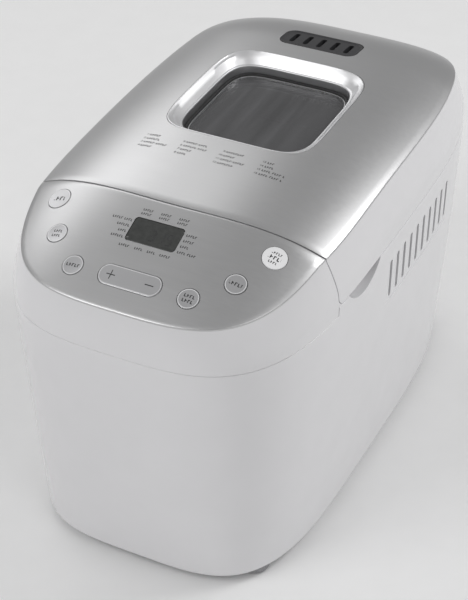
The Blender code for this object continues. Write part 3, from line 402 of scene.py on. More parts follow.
def wall_point(angle, z):
    """Place in plan of the casing at this angle and height."""
    rim = superellipse(angle, RIM_HALF_WIDTH, RIM_FRONT, RIM_BACK, RIM_ROUNDNESS)
    belt = superellipse(angle, RIM_HALF_WIDTH + FLARE, RIM_FRONT + FLARE, RIM_BACK + FLARE,
                        RIM_ROUNDNESS)
    belt_z = top_z(*rim) - BELT_DROP
    if z >= belt_z:
        return belt.lerp(rim, min(1.0, (z - belt_z) / BELT_DROP) ** 1.5)
    base = superellipse(angle, BASE_HALF_WIDTH, BASE_FRONT, BASE_BACK, BASE_ROUNDNESS)
    share = max(0.0, (z - BODY_BOTTOM) / (belt_z - BODY_BOTTOM))
    return base.lerp(belt, 1 - (1 - share) ** TAPER_POWER)


def side_angle(y, z):
    """Angle on the right side where the skin passes this y."""
    low, high = (-math.pi / 2, 0.0) if y < MID_Y else (0.0, math.pi / 2)
    for _ in range(40):
        middle = (low + high) / 2
        if wall_point(middle, z).y < y:
            low = middle
        else:
            high = middle
    return low


def wall_x(y, z):
    return wall_point(side_angle(y, z), z).x


print("top height over the window in mm:", round(top_z(0, 0.03) / MM, 1))

# %% [markdown]
# ## Building meshes from rings
# Nearly every casing piece is a stack of closed rings with faces between them, which is how a lathe, a
# loft or a vacuum-formed sheet would be drawn. A small class collects such stacks in one mesh, keeps a
# material number for each stack, and hands the finished piece to the frame: it rides on a body, and it may
# stand for frame nodes.


# %% The ring builder
class Shape:
    """A mesh in the making: lofted stacks of rings, each with its material number."""

    def __init__(self):
        self.bm = bmesh.new()

    def loft(self, rings, loop=False, first=None, last=None, tone=0):
        """Faces between rings of equal length; first and last may be the middle of a fan."""
        rows = [[self.bm.verts.new(point) for point in ring] for ring in rings]
        pairs = list(zip(rows, rows[1:])) + ([(rows[-1], rows[0])] if loop else [])
        made = []
        for below, above in pairs:
            for i, corner in enumerate(below):
                j = (i + 1) % len(below)
                made.append(self.bm.faces.new((corner, below[j], above[j], above[i])))
        for row, centre in (() if loop else ((rows[0], first), (rows[-1], last))):
            if centre is None:
                made.append(self.bm.faces.new(row))
                continue
            middle = self.bm.verts.new(centre)
            made += [self.bm.faces.new((corner, row[(i + 1) % len(row)], middle))
                     for i, corner in enumerate(row)]
        for face in made:
            face.material_index = tone
        return made

    def piece(self, name, *surfaces, crease=35):
        """Close the mesh as an object at the origin, faces outward, smooth but for sharp edges."""
        bmesh.ops.recalc_face_normals(self.bm, faces=self.bm.faces)
        mesh = bpy.data.meshes.new(name)
        self.bm.to_mesh(mesh)
        self.bm.free()
        for surface in surfaces:
            mesh.materials.append(surface)
        smooth(mesh, crease)
        thing = bpy.data.objects.new(name, mesh)
        bpy.context.scene.collection.objects.link(thing)
        return thing


def lofted(name, rings, *surfaces, crease=35, **ends):
    """A piece made of a single stack of rings."""
    shape = Shape()
    shape.loft(rings, **ends)
    return shape.piece(name, *surfaces, crease=crease)


def smooth(mesh, crease=35):
    mesh.shade_smooth()
    mesh.set_sharp_from_angle(angle=math.radians(crease))


def baked(thing):
    """The object's mesh with its modifiers carried out, and the modifiers gone."""
    bpy.context.view_layer.update()
    shape = thing.evaluated_get(bpy.context.evaluated_depsgraph_get())
    mesh = bpy.data.meshes.new_from_object(shape)
    thing.modifiers.clear()
    thing.data = mesh
    return thing


def carve(thing, tool, operation="DIFFERENCE", crease=35):
    """Cut the tool out of a piece, or add it, and drop the tool."""
    modifier = thing.modifiers.new("carve", "BOOLEAN")
    modifier.operation, modifier.solver, modifier.object = operation, "EXACT", tool
    baked(thing)
    smooth(thing.data, crease)
    bpy.data.objects.remove(tool)
    return thing


def settle(thing, body, *stands_for, slot=None):
    """Hand a finished piece to the frame."""
    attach(thing, body)
    if stands_for:
        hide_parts(*stands_for)
    print(f"{thing.name}: {len(thing.data.polygons)} faces, rides on {body}")
    return thing


# %% Rings in plan
def inset(points, distance):
    """Plan points moved inwards, with mitred corners."""
    area = sum(a[0] * b[1] - b[0] * a[1] for a, b in zip(points, points[1:] + points[:1]))
    turn = math.copysign(1.0, area)
    moved = []
    for i, point in enumerate(points):
        before, after = Vector(points[i - 1][:2]), Vector(points[(i + 1) % len(points)][:2])
        here = Vector(point[:2])
        first, second = (here - before).normalized(), (after - here).normalized()
        normal_1 = Vector((-first.y, first.x)) * turn
        normal_2 = Vector((-second.y, second.x)) * turn
        mitre = (normal_1 + normal_2) / (1 + normal_1.dot(normal_2))
        spot = here + mitre * distance
        moved.append((spot.x, spot.y, *point[2:]))
    return moved


def raised(points, z):
    return [(p[0], p[1], z) for p in points]


def levels(outline, *steps, base=0.0):
    """Copies of an outline; each step is how far in and how high above the base, in millimetres."""
    return [raised(inset(outline, inward * MM) if inward else outline, base + z * MM)
            for inward, z in steps]


def circle(radius, sides=48, x=0.0, y=0.0):
    return [(x + radius * math.cos(2 * math.pi * i / sides),
             y + radius * math.sin(2 * math.pi * i / sides)) for i in range(sides)]


def rounded_box(half_x, half_y, radius, y=0.0, corner=14, side=5):
    """Rectangle with round corners about (0, y), with points along its sides too."""
    points = []
    arms = ((1, 1), (-1, 1), (-1, -1), (1, -1))
    for quarter, (side_x, side_y) in enumerate(arms):
        for i in range(corner):
            angle = math.pi / 2 * (quarter + i / (corner - 1))
            points.append(Vector((side_x * (half_x - radius) + radius * math.cos(angle),
                                  y + side_y * (half_y - radius) + radius * math.sin(angle))))
        next_x, next_y = arms[(quarter + 1) % 4]
        angle = math.pi / 2 * (quarter + 1)
        goal = Vector((next_x * (half_x - radius) + radius * math.cos(angle),
                       y + next_y * (half_y - radius) + radius * math.sin(angle)))
        last = points[-1].copy()
        points += [last.lerp(goal, k / (side + 1)) for k in range(1, side + 1)]
    return [tuple(p) for p in points]


def squircle(half_x, half_y, roundness, y=0.0, sides=128):
    both = (roundness, roundness)
    return [tuple(superellipse(even_angle(2 * math.pi * (i + 0.5) / sides, both), half_x, half_y,
                               half_y, both, y)) for i in range(sides)]


def pill(half_x, half_y, y, steps=14):
    points = []
    for side, start in ((1, -math.pi / 2), (-1, math.pi / 2)):
        points += [(side * (half_x - half_y) + half_y * math.cos(start + math.pi * i / steps),
                    y + half_y * math.sin(start + math.pi * i / steps)) for i in range(steps + 1)]
    return points


def disc_stack(shape, steps, centre, axis="Z", sides=48, tone=0, **ends):
    """Rings about an axis through centre: steps are (distance along, radius)."""
    turn = {"X": Matrix.Rotation(math.pi / 2, 3, "Y"), "Y": Matrix.Rotation(-math.pi / 2, 3, "X"),
            "Z": Matrix.Identity(3)}[axis]
    rings = [[Vector(centre) + turn @ Vector((px, py, along)) for px, py in circle(radius, sides)]
             for along, radius in steps]
    return shape.loft(rings, tone=tone, **ends)


def block(shape, low, high, tone=0):
    plan = [(low[0], low[1]), (high[0], low[1]), (high[0], high[1]), (low[0], high[1])]
    return shape.loft([raised(plan, low[2]), raised(plan, high[2])], tone=tone)


print("ring helpers ready")

# %% [markdown]
# ## White lid and front band
# The lid and the fixed band round the control panel are moulded cups of the same skin, parted along a
# bowed seam. Each is a closed wall 2.5 mm thick. The lid's lower front corner is rounded off, and the band
# has a small hook that fills the space, so the seam reads as one clean curved line when the lid is shut.

# %% Loops of skin that close along the seam
ARC, ACROSS_SEAM = 230, 48
CORNER_RADIUS = 7 * MM


def corner_set_back(z):
    """How far the seam draws back at the lid's rounded lower corner."""
    rise = z - PART_Z
    if not 0 <= rise < CORNER_RADIUS:
        return 0.0
    return CORNER_RADIUS - math.sqrt(CORNER_RADIUS ** 2 - (CORNER_RADIUS - rise) ** 2)


def skin_ring(is_lid, share, floor_z, drop, hooked=True, inward=0.0):
    """One loop of the skin; share runs from 0 at floor_z to 1 at the rim."""
    side = 1 if is_lid else -1
    rim_z = top_z(RIM_HALF_WIDTH, SEAM_END_Y) - drop
    corner_z = floor_z + share * (rim_z - floor_z)
    corner_y = SEAM_END_Y + SEAM_LEAN * (rim_z - max(corner_z, PART_Z)) + side * SEAM_GAP / 2
    if hooked:
        corner_y += corner_set_back(corner_z)
    start = side_angle(corner_y, corner_z)
    end = math.pi - start if is_lid else -math.pi - start
    loop = []
    for angle in skin_angles(start, end, ARC if is_lid else ARC // 2):
        rim = superellipse(angle, RIM_HALF_WIDTH, RIM_FRONT, RIM_BACK, RIM_ROUNDNESS)
        z = floor_z + share * (top_z(*rim) - drop - floor_z)
        loop.append((*wall_point(angle, z), z))
    corner_x = loop[0][0]
    for i in range(1, ACROSS_SEAM):
        x = corner_x * (2 * i / ACROSS_SEAM - 1)
        y = corner_y - SEAM_BOW * (1 - (x / corner_x) ** 2)
        loop.append((x, y, floor_z + share * (top_z(x, y) - drop - floor_z)))
    return inset(loop, inward) if inward else loop


def on_top(points, drop):
    return [(x, y, top_z(x, y) - drop) for x, y, *_ in points]


def shrunk(edge, centre, drop, scales):
    """Loops on the top surface, drawn in towards a centre."""
    middle = Vector(centre)
    rings = []
    for scale in scales:
        spots = [middle + scale * (Vector(point[:2]) - middle) for point in edge]
        rings.append([(p.x, p.y, top_z(p.x, p.y) - drop) for p in spots])
    return rings


def skin_levels(outline, *steps):
    """Copies of an outline laid on the top; each step is how far in and how far below, in millimetres."""
    return [on_top(inset(outline, inward * MM) if inward else outline, drop * MM)
            for inward, drop in steps]


def domed(shape, rings, middle, under, over):
    """Loft closed by two fans, whose middles lie this far below the top surface."""
    z = top_z(*middle)
    shape.loft(rings, first=(*middle, z - under), last=(*middle, z - over))
    return shape


PATCHES = [1 - 0.045 * k for k in range(1, 22)]
INNER_PATCHES = (0.8, 0.6, 0.4, 0.2)
print("points in a lid loop:", len(skin_ring(True, 1, PART_Z, SHEET)))

# %% White cups


def cup(is_lid, floor_z, centre, shares, lip=0.5 * MM):
    """Closed wall: outer skin, top under the silver sheet, and the inside."""
    drop = SHEET + SHEET_GAP
    outer = [skin_ring(is_lid, shares[0], floor_z, drop, inward=lip)]
    low = [skin_ring(is_lid, shares[0] + step, floor_z, drop, inward=amount)
           for step, amount in ((0.004, 0.25 * lip), (0.009, 0.0))]
    outer += low + [skin_ring(is_lid, share, floor_z, drop) for share in shares[1:]]
    outer.append(on_top(outer[-1], drop))
    inner_shares = (shares[0], 0.3, 0.6, 0.9, 1.0)
    inner = [skin_ring(is_lid, share, floor_z, drop, hooked=False, inward=WALL + 0.2 * MM)
             for share in inner_shares]
    inner[-1] = on_top(inner[-1], drop + WALL)
    shape = Shape()
    outside = outer + shrunk(outer[-1], centre, drop, PATCHES)
    inside = inner + shrunk(inner[-1], centre, drop + WALL, PATCHES)
    middle_z = top_z(*centre) - drop
    shape.loft(outside[::-1] + inside, first=(*centre, middle_z), last=(*centre, middle_z - WALL))
    return shape


LID_CENTRE, PANEL_CENTRE = (0, 40 * MM), (0, -158 * MM)
lid_shares = [0.0] + [0.02 + 0.02 * k for k in range(8)] + [0.18 + 0.0745 * k for k in range(12)]
lid_cover = cup(True, PART_Z, LID_CENTRE, lid_shares).piece("lid_cover", gloss_white)
print("lid cup faces:", len(lid_cover.data.polygons))

hook_low = (PART_Z - CREASE_Z) / (top_z(RIM_HALF_WIDTH, SEAM_END_Y) - SHEET - SHEET_GAP - CREASE_Z)
band_shares = [0.0, 0.02, 0.06, 0.11, hook_low - 0.002, hook_low + 0.0005]
band_shares += [hook_low + 0.014 * k for k in range(1, 11)]
band_shares += [hook_low + 0.2 + 0.0715 * k * (0.8 - hook_low) / 0.644 for k in range(10)]
band_shares[-1] = 1.0
front_band = cup(False, CREASE_Z, PANEL_CENTRE, band_shares).piece("front_band", gloss_white)
print("band faces:", len(front_band.data.polygons))

# %% [markdown]
# ## Slots from one node tree
# The machine has three families of slots: louvres in the sides, five steam slots in the vent, and cooling
# slots under the base. Each is a row of equal round-ended holes, so one Geometry Nodes tree makes the
# cutters. A line of points carries a slot solid, and its inputs are the count, the pitch and the slot's
# sizes. The tree is run once for each family, and its mesh then cuts the piece.


# %% A class for node trees
class Grove:
    """A Geometry Nodes tree with named inputs, built with one method for every node."""

    def __init__(self, name, **inputs):
        self.tree = bpy.data.node_groups.new(name, "GeometryNodeTree")
        face = self.tree.interface
        self.sockets = {}
        face.new_socket("Geometry", in_out="INPUT", socket_type="NodeSocketGeometry")
        face.new_socket("Geometry", in_out="OUTPUT", socket_type="NodeSocketGeometry")
        for label, kind in inputs.items():
            self.sockets[label] = face.new_socket(label, in_out="INPUT",
                                                  socket_type=f"NodeSocket{kind}").identifier
        self.entry = self.tree.nodes.new("NodeGroupInput")

    def given(self, label):
        return self.entry.outputs[label]

    def node(self, *details, **choice):
        return add_node(self.tree, *details, **choice)

    def end(self, instances):
        """Realize the instances, give them the material, and close the tree."""
        solid = self.node("GeometryNodeRealizeInstances", {}, {"Geometry": instances})
        painted = self.node("GeometryNodeSetMaterial", {},
                            {"Geometry": solid, "Material": self.given("Material")})
        out = self.tree.nodes.new("NodeGroupOutput")
        self.tree.links.new(painted, out.inputs["Geometry"])
        return self

    def grow(self, name, start=None, **values):
        """Run the tree on a start mesh and return the result as a plain object."""
        mesh = start or bpy.data.meshes.new(name)
        thing = bpy.data.objects.new(name, mesh)
        bpy.context.scene.collection.objects.link(thing)
        modifier = thing.modifiers.new(name, "NODES")
        modifier.node_group = self.tree
        for label, value in values.items():
            modifier[self.sockets[label]] = value
        return baked(thing)


# %% The slot row tree
slots = Grove("slot_row", Count="Int", Pitch="Vector", Width="Float", Height="Float", Depth="Float",
              Turn="Rotation", Material="Material")
line = slots.node("GeometryNodeMeshLine", {"mode": "OFFSET"},
                  {"Count": slots.given("Count"), "Offset": slots.given("Pitch")})
outline = slots.node("GeometryNodeCurvePrimitiveQuadrilateral", {"mode": "RECTANGLE"},
                     {"Width": slots.given("Width"), "Height": slots.given("Height")})
half = slots.node("ShaderNodeMath", {"operation": "MULTIPLY"}, {0: slots.given("Width"), 1: 0.49})
rounded = slots.node("GeometryNodeFilletCurve", {"mode": "POLY"},
                     {"Curve": outline, "Radius": half, "Count": 6})
face = slots.node("GeometryNodeFillCurve", {"mode": "NGONS"}, {"Curve": rounded})
pulled = slots.node("GeometryNodeExtrudeMesh", {"mode": "FACES"},
                    {"Mesh": face, "Offset Scale": slots.given("Depth"), "Individual": False})
back = slots.node("GeometryNodeFlipFaces", {}, {"Mesh": face})
both = slots.tree.nodes.new("GeometryNodeJoinGeometry")
slots.tree.links.new(pulled, both.inputs[0])
slots.tree.links.new(back, both.inputs[0])
closed = slots.node("GeometryNodeMergeByDistance", {}, {"Geometry": both.outputs[0],
                                                         "Distance": 0.00001})
row = slots.node("GeometryNodeInstanceOnPoints", {},
                 {"Points": line, "Instance": closed, "Rotation": slots.given("Turn")})
slots.end(row)


def slot_cutter(name, count, pitch, width, height, depth, turn, corner, surface):
    """A row of slots whose first slot's outer face is centred on a corner point."""
    thing = slots.grow(name, Count=count, Pitch=pitch, Width=width, Height=height, Depth=depth,
                       Turn=turn, Material=surface)
    thing.data.transform(Matrix.Translation(corner))
    return thing


SIDEWAYS = (math.pi / 2, 0, math.pi / 2)
print("slot row tree has", len(slots.tree.nodes), "nodes")

# %% [markdown]
# ## Lower housing
# The housing is one deep moulding: a rounded foot edge, walls that widen upwards, and a small round on its
# top edge that catches the light along the parting line. Ahead of the lid it stops at the crease under the
# control panel, and behind it reaches up to the lid. Half-moon finger scoops sit just under the lid on both
# sides, and ten louvres let warm air out of each side.

# %% Walls of the housing
STEP_Y = SEAM_END_Y + SEAM_LEAN * (top_z(RIM_HALF_WIDTH, SEAM_END_Y) - PART_Z)
TOP_LEVELS = (CREASE_Z - GAP, PART_Z - 2 * GAP)


def housing_ring(front_z, rear_z, inward=0.0, offset=0.0):
    """Loop of the housing whose front and rear parts may stand at different heights."""
    rear = side_angle(STEP_Y + 0.2 * MM + offset, rear_z)
    ahead = side_angle(STEP_Y - 0.2 * MM + offset, front_z)
    loop = [(*wall_point(a, rear_z), rear_z) for a in skin_angles(rear, math.pi - rear, 210)]
    loop += [(*wall_point(a, front_z), front_z)
             for a in skin_angles(-math.pi - ahead, ahead, 110)]
    return inset(loop, inward) if inward else loop


EDGE = 4 * MM
outer = []
for k in range(7):
    lift = math.pi / 2 * k / 6
    z = BODY_BOTTOM + EDGE * (1 - math.cos(lift))
    outer.append(housing_ring(z, z, EDGE * (1 - math.sin(lift)) + 0.01 * MM))
outer += [housing_ring(z, z) for z in spread(14 * MM, 200 * MM, 26)]
for drop, inward in ((5, 0.0), (0.8, 0.0), (0.35, 0.1), (0.1, 0.35), (0.0, 0.8)):
    outer.append(housing_ring(TOP_LEVELS[0] - drop * MM, TOP_LEVELS[1] - drop * MM, inward * MM))
inner = [housing_ring(*TOP_LEVELS, WALL)]
inner += [housing_ring(z, z, WALL) for z in (200 * MM, 150 * MM, 75 * MM, 12 * MM)]
inner.append(housing_ring(BODY_BOTTOM, BODY_BOTTOM, EDGE + WALL))
housing = lofted("housing", outer + inner, gloss_white, loop=True)
print("housing faces:", len(housing.data.polygons))

# %% Scoops, louvres and the cuts at the back
SCOOP_Y, SCOOP_HALF, SCOOP_DEPTH = -62.5 * MM, 27 * MM, 13 * MM
scoop_top = TOP_LEVELS[1]
scoop_radius = (SCOOP_HALF ** 2 + SCOOP_DEPTH ** 2) / (2 * SCOOP_DEPTH)
pockets, hollows = Shape(), Shape()
for side in (1, -1):
    skin = wall_x(SCOOP_Y, scoop_top)
    ends = sorted((side * (skin - 12 * MM), side * (skin - 2.2 * MM)))
    block(pockets, (ends[0], SCOOP_Y - 31 * MM, 201 * MM),
          (ends[1], SCOOP_Y + 31 * MM, scoop_top - 0.2 * MM))
    reach = sorted((side * (skin - 9.5 * MM), side * (skin + 6 * MM)))
    disc_stack(hollows, [(reach[0], scoop_radius), (reach[1], scoop_radius)],
               (0, SCOOP_Y, scoop_top - SCOOP_DEPTH + scoop_radius), "X", 160)
carve(housing, pockets.piece("pockets", gloss_white), "UNION")
carve(housing, hollows.piece("hollows", gloss_white))

LOUVRES, LOUVRE_START, LOUVRE_PITCH = 10, -12.8 * MM, 13 * MM
LOUVRE_LOW, LOUVRE_HEIGHT, LOUVRE_WIDTH = 165.2 * MM, 34.4 * MM, 4.4 * MM
louvre_middle = LOUVRE_LOW + LOUVRE_HEIGHT / 2
last_y = LOUVRE_START + (LOUVRES - 1) * LOUVRE_PITCH
for side in (1, -1):
    first_x, last_x = wall_x(LOUVRE_START, louvre_middle), wall_x(last_y, louvre_middle)
    pitch = (side * (last_x - first_x) / (LOUVRES - 1), LOUVRE_PITCH, 0)
    row = slot_cutter(f"louvre_row_{side + 1}", LOUVRES, pitch, LOUVRE_WIDTH, LOUVRE_HEIGHT, 16 * MM,
                      SIDEWAYS, (side * first_x - 8 * MM, LOUVRE_START, louvre_middle), gloss_white)
    carve(housing, row)
back_cuts = Shape()
block(back_cuts, (-76 * MM, 195 * MM, 211.2 * MM), (76 * MM, 220 * MM, 225 * MM))
disc_stack(back_cuts, [(0, 9.4 * MM), (30 * MM, 9.4 * MM)], (70 * MM, 176 * MM, 36 * MM), "Y", 48)
carve(housing, back_cuts.piece("back_cuts", gloss_white))
settle(housing, "machine", "lower_housing", slot="white_casing")

# %% [markdown]
# ## Dark plates behind the louvres
# Through a louvre one sees a dark plate, not the far wall: the plate is a dark sheet that paints the shade
# inside the slots. Below each row a thin ridge stiffens the wall. Both are swept along the wall's own
# curve, point by point.

# %% Shade plates and ridges
# Dark plates behind the louvre rows paint the shade inside the slots.
shade_plates, ridges = Shape(), Shape()
along = spread(LOUVRE_START - 6 * MM, last_y + 6 * MM, 40)
for side in (1, -1):
    rings = []
    for y in along:
        top, low = LOUVRE_LOW + LOUVRE_HEIGHT + 3 * MM, LOUVRE_LOW - 3 * MM
        x_top, x_low = wall_x(y, top) - 5 * MM, wall_x(y, low) - 5 * MM
        rings.append([(side * x_low, y, low), (side * x_top, y, top),
                      (side * (x_top - 1 * MM), y, top), (side * (x_low - 1 * MM), y, low)])
    shade_plates.loft(rings)
    rings = []
    for i, y in enumerate(spread(LOUVRE_START - 7 * MM, last_y + 4 * MM, 60)):
        z = LOUVRE_LOW - 4.5 * MM
        taper = min(1.0, i / 4, (59 - i) / 4)
        x = wall_x(y, z)
        rings.append([(side * (x - 0.5 * MM + (0.5 + 0.55 * taper * math.sin(a)) * MM), y,
                       z + 1.1 * MM * math.cos(a)) for a in spread(0, math.pi, 9)]
                     + [(side * (x - 1 * MM), y, z - 1.1 * MM), (side * (x - 1 * MM), y, z + 1.1 * MM)])
    ridges.loft(rings)
settle(shade_plates.piece("louvre_baffles", textured_dark), "machine")
settle(ridges.piece("louvre_ridges", gloss_white), "machine", slot="white_casing")

# %% [markdown]
# ## Holes in the lid and the band
# The lid and the band are cut where the window, the vent, the keys and the display sit, and where the
# hinge barrels turn. One joined cutter for each piece does it in a single cut, which is quicker and safer
# than many.

# %% Key, window and hinge places
KEYS = {"key_menu": (-88, -131.2, 9.1), "key_start": (88, -131.2, 9.1),
        "key_loaf_size": (-72.5, -160.7, 8), "key_colour": (72.5, -160.7, 8),
        "key_dough": (-46.6, -182.3, 8), "key_home_made": (46.6, -182.3, 8)}
KEYS = {name: tuple(v * MM for v in spot) for name, spot in KEYS.items()}
ROCKER_Y, ROCKER_HALF = -182 * MM, (25 * MM, 7.6 * MM)
DISPLAY_Y, DISPLAY_HALF = -144.5 * MM, (20 * MM, 9.8 * MM)
WINDOW_Y, WINDOW_HALF, WINDOW_ROUNDNESS = 32.6 * MM, (63 * MM, 65.3 * MM), 5.4
VENT_Y, VENT_HALF = 132.6 * MM, (34 * MM, 13.9 * MM)
HINGE_Y, HINGE_Z, KNUCKLE, PIN = 208.5 * MM, 217 * MM, 4.5 * MM, 2 * MM
RUNNING_GAP = 0.4 * MM
FRAME_KNUCKLES = ((40 * MM, 52 * MM), (-52 * MM, -40 * MM))
LID_KNUCKLES = ((52.5 * MM, 62 * MM), (-62 * MM, -52.5 * MM))


def key_frame(x, y):
    """Turn and centre that put a shape on the silver panel at this place."""
    turn = Vector((0, 0, 1)).rotation_difference(top_normal(x, y)).to_matrix()
    return turn, Vector((x, y, top_z(x, y)))


def panel_cutter(name, grow=0.0):
    shape = Shape()
    for x, y, radius in KEYS.values():
        turn, centre = key_frame(x, y)
        rings = [[centre + turn @ Vector((px, py, along))
                  for px, py in circle(radius + RUNNING_GAP + grow, 64)] for along in (-12 * MM, 6 * MM)]
        shape.loft(rings)
    outline = pill(ROCKER_HALF[0] + RUNNING_GAP + grow, ROCKER_HALF[1] + RUNNING_GAP + grow, ROCKER_Y)
    z = top_z(0, ROCKER_Y)
    shape.loft(levels(outline, (0, -15), (0, 8), base=z))
    outline = rounded_box(DISPLAY_HALF[0] + GAP + grow, DISPLAY_HALF[1] + GAP + grow, 3 * MM, DISPLAY_Y)
    z = top_z(0, DISPLAY_Y)
    shape.loft(levels(outline, (0, -16), (0, 10), base=z))
    return shape.piece(name, gloss_white)


def lid_cutter(name, with_hinge=False):
    shape = Shape()
    hole = squircle(WINDOW_HALF[0] + GAP, WINDOW_HALF[1] + GAP, WINDOW_ROUNDNESS, WINDOW_Y)
    shape.loft(levels(hole, (0, 250), (0, 300)))
    hole = rounded_box(VENT_HALF[0] + GAP, VENT_HALF[1] + GAP, 9 * MM, VENT_Y)
    shape.loft(levels(hole, (0, 255), (0, 300)))
    for low, high in FRAME_KNUCKLES if with_hinge else ():
        block(shape, (low - 0.6 * MM, 201 * MM, 210 * MM), (high + 0.6 * MM, 218 * MM, 223 * MM))
    return shape.piece(name, gloss_white)


carve(lid_cover, lid_cutter("lid_holes", True))
settle(lid_cover, "lid", "lid_shell", slot="white_casing")
scoop_rooms = Shape()
for side in (1, -1):
    skin = wall_x(SCOOP_Y, PART_Z)
    ends = sorted((side * (skin - 12.5 * MM), side * (skin + 2 * MM)))
    block(scoop_rooms, (ends[0], SCOOP_Y - 31.5 * MM, 205 * MM),
          (ends[1], SCOOP_Y + 31.5 * MM, 218 * MM))
carve(front_band, panel_cutter("band_holes", 0.3 * MM))
carve(front_band, scoop_rooms.piece("scoop_rooms", gloss_white))
settle(front_band, "machine", "upper_frame", slot="white_casing")

# %% [markdown]
# ## Deck and hinge
# With the lid open one looks down on a flat deck round the oven mouth. At its rear edge two barrels carry
# the lid on steel pins. The deck's edge stays clear of the casing, and its barrels are round with a web
# underneath, so the lid can swing to eighty degrees without touching.

# %% Deck with its oven opening
OVEN_Y, deck_z = 35 * MM, 212.5 * MM
deck_start = side_angle(-121 * MM, deck_z)
deck_edge = [tuple(wall_point(a, deck_z)) for a in skin_angles(deck_start, math.pi - deck_start, 160)]
deck_edge = [(x, min(y, 207.3 * MM)) for x, y in inset(deck_edge, WALL + 0.7 * MM)]
deck = lofted("deck", levels(deck_edge, (0, 211.3), (0, 213.6), (0.4, 214)), gloss_white)
shape = Shape()
shape.loft(levels(rounded_box(92.5 * MM, 135.5 * MM, 36 * MM, OVEN_Y), (0, 205), (0, 220)))
for low, high in LID_KNUCKLES:
    block(shape, (low - 0.6 * MM, 202.6 * MM, 205 * MM), (high + 0.6 * MM, 215 * MM, 225 * MM))
for side in (1, -1):
    ends = sorted((side * (wall_x(SCOOP_Y, PART_Z) - 12.5 * MM), side * 140 * MM))
    block(shape, (ends[0], SCOOP_Y - 31.5 * MM, 205 * MM), (ends[1], SCOOP_Y + 31.5 * MM, 218 * MM))
carve(deck, shape.piece("deck_opening", gloss_white))
settle(deck, "machine", "upper_frame", slot="white_casing")


# %% Hinge barrels
def barrels(name, spans, web_low, web_high, body):
    shape = Shape()
    for low, high in spans:
        rings = [[(x, HINGE_Y + r * math.cos(a), HINGE_Z + r * math.sin(a))
                  for a in spread(0, 2 * math.pi * 47 / 48, 48)]
                 for r, x in ((PIN + RUNNING_GAP, low), (KNUCKLE - 0.4 * MM, low),
                              (KNUCKLE, low + 0.4 * MM), (KNUCKLE, high - 0.4 * MM),
                              (KNUCKLE - 0.4 * MM, high), (PIN + RUNNING_GAP, high))]
        shape.loft(rings, loop=True)
        block(shape, (low, web_low[0], web_low[1]), (high, web_high[0], web_high[1]))
    return settle(shape.piece(name, gloss_white), body, slot="white_casing")


barrels("frame_barrels", FRAME_KNUCKLES, (200 * MM, 212 * MM), (HINGE_Y - KNUCKLE + 1 * MM, 217 * MM),
        "machine")
barrels("lid_barrels", LID_KNUCKLES, (HINGE_Y - KNUCKLE, 220.6 * MM), (209.5 * MM, 228 * MM), "lid")

# %% [markdown]
# ## Silver top
# The lid's silver skin and the control panel are thin sheets laid over the white cups. Their rolled edge
# stands just proud of a fine shadow gap, which draws the bright line round the top of the machine.

# %% Silver sheets


def silver_sheet(name, is_lid, floor_z, centre, cutter):
    edge = skin_ring(is_lid, 1, floor_z, SHEET + SHEET_GAP)
    roll = ((0.0, SHEET), (0.0, 0.45 * MM), (0.12 * MM, 0.15 * MM), (0.45 * MM, 0.0))
    rings = [on_top(inset(edge, inward) if inward else edge, drop) for inward, drop in roll]
    rings += shrunk(edge, centre, 0, PATCHES)
    under = shrunk(edge, centre, SHEET, PATCHES)[::-1]
    sheet = domed(Shape(), under + rings, centre, SHEET, 0.0)
    return carve(sheet.piece(name, satin_silver), cutter)


settle(silver_sheet("silver_lid_skin", True, PART_Z, LID_CENTRE, lid_cutter("skin_holes")),
       "lid", "lid_top_sheet", slot="silver_top")
settle(silver_sheet("silver_panel", False, CREASE_Z, PANEL_CENTRE, panel_cutter("panel_holes")),
       "machine", "control_panel", slot="silver_top")

# %% [markdown]
# ## Window
# The window sits deep in the lid. A bright frame slopes down to a rounded shoulder. A step follows in the
# same silver, painted darker as shade, then a black seal, a thin bright ring painted as a highlight, and
# the glass. Each part is a stack of rounded squares, whose size shrinks as it goes down, so the same ring
# function draws them all. The glass is smoked, lets a little of the oven show, and carries painted streaks
# of reflection.

# %% Window frame, seal and glass
def window_ring(step_in, z=None, drop=0.0):
    points = squircle(WINDOW_HALF[0] - step_in, WINDOW_HALF[1] - step_in, WINDOW_ROUNDNESS, WINDOW_Y)
    return [(x, y, top_z(x, y) - drop if z is None else z) for x, y in points]


def window_rings(*steps):
    """Rings of the window's outline; each step is how far in and how high, in millimetres."""
    return [window_ring(inward * MM, z * MM) for inward, z in steps]


shape = Shape()
lip = [(0.0, 3.0), (0.0, 0.1), (0.15, -0.15), (0.6, -0.25), (1.1, -0.1), (1.5, 0.4)]
slope = [window_ring(a * MM, drop=d * MM) for a, d in lip]
slope += [window_ring((1.5 + 6.3 * t) * MM, top_z(0, WINDOW_Y) - (0.4 + 9.2 * t) * MM)
          for t in (0.33, 0.66, 1.0)]
shoulder_z = top_z(0, WINDOW_Y) - 9.6 * MM
slope += [window_ring((8.3 + 0.9 * math.sin(a)) * MM, shoulder_z - 0.9 * (1 - math.cos(a)) * MM)
          for a in (0.5, 0.9, 1.3)]
shape.loft(slope + [window_ring(9.2 * MM, shoulder_z - 2.2 * MM), window_ring(6 * MM, shoulder_z - 2 * MM),
                    window_ring(1.6 * MM, top_z(0, WINDOW_Y) - 5 * MM)], loop=True)
# The step takes the darker silver: painted shade on the recessed wall.
step = [window_ring(9.0 * MM, shoulder_z - 0.9 * MM), window_ring(9.4 * MM, shoulder_z - 1.1 * MM)]
step += window_rings((10.4, 270.9), (10.4, 268.4), (9, 268.4))
shape.loft(step, loop=True, tone=1)
settle(shape.piece("window_frame", bright_silver, shaded_step_silver), "lid", "window_bezel",
       slot="window_frame")
shape = Shape()
shape.loft(window_rings((10.3, 268.2), (10.3, 270.2), (10.9, 270.7), (11.9, 270.3), (12.3, 269.4),
                        (12.3, 268.2)), loop=True)
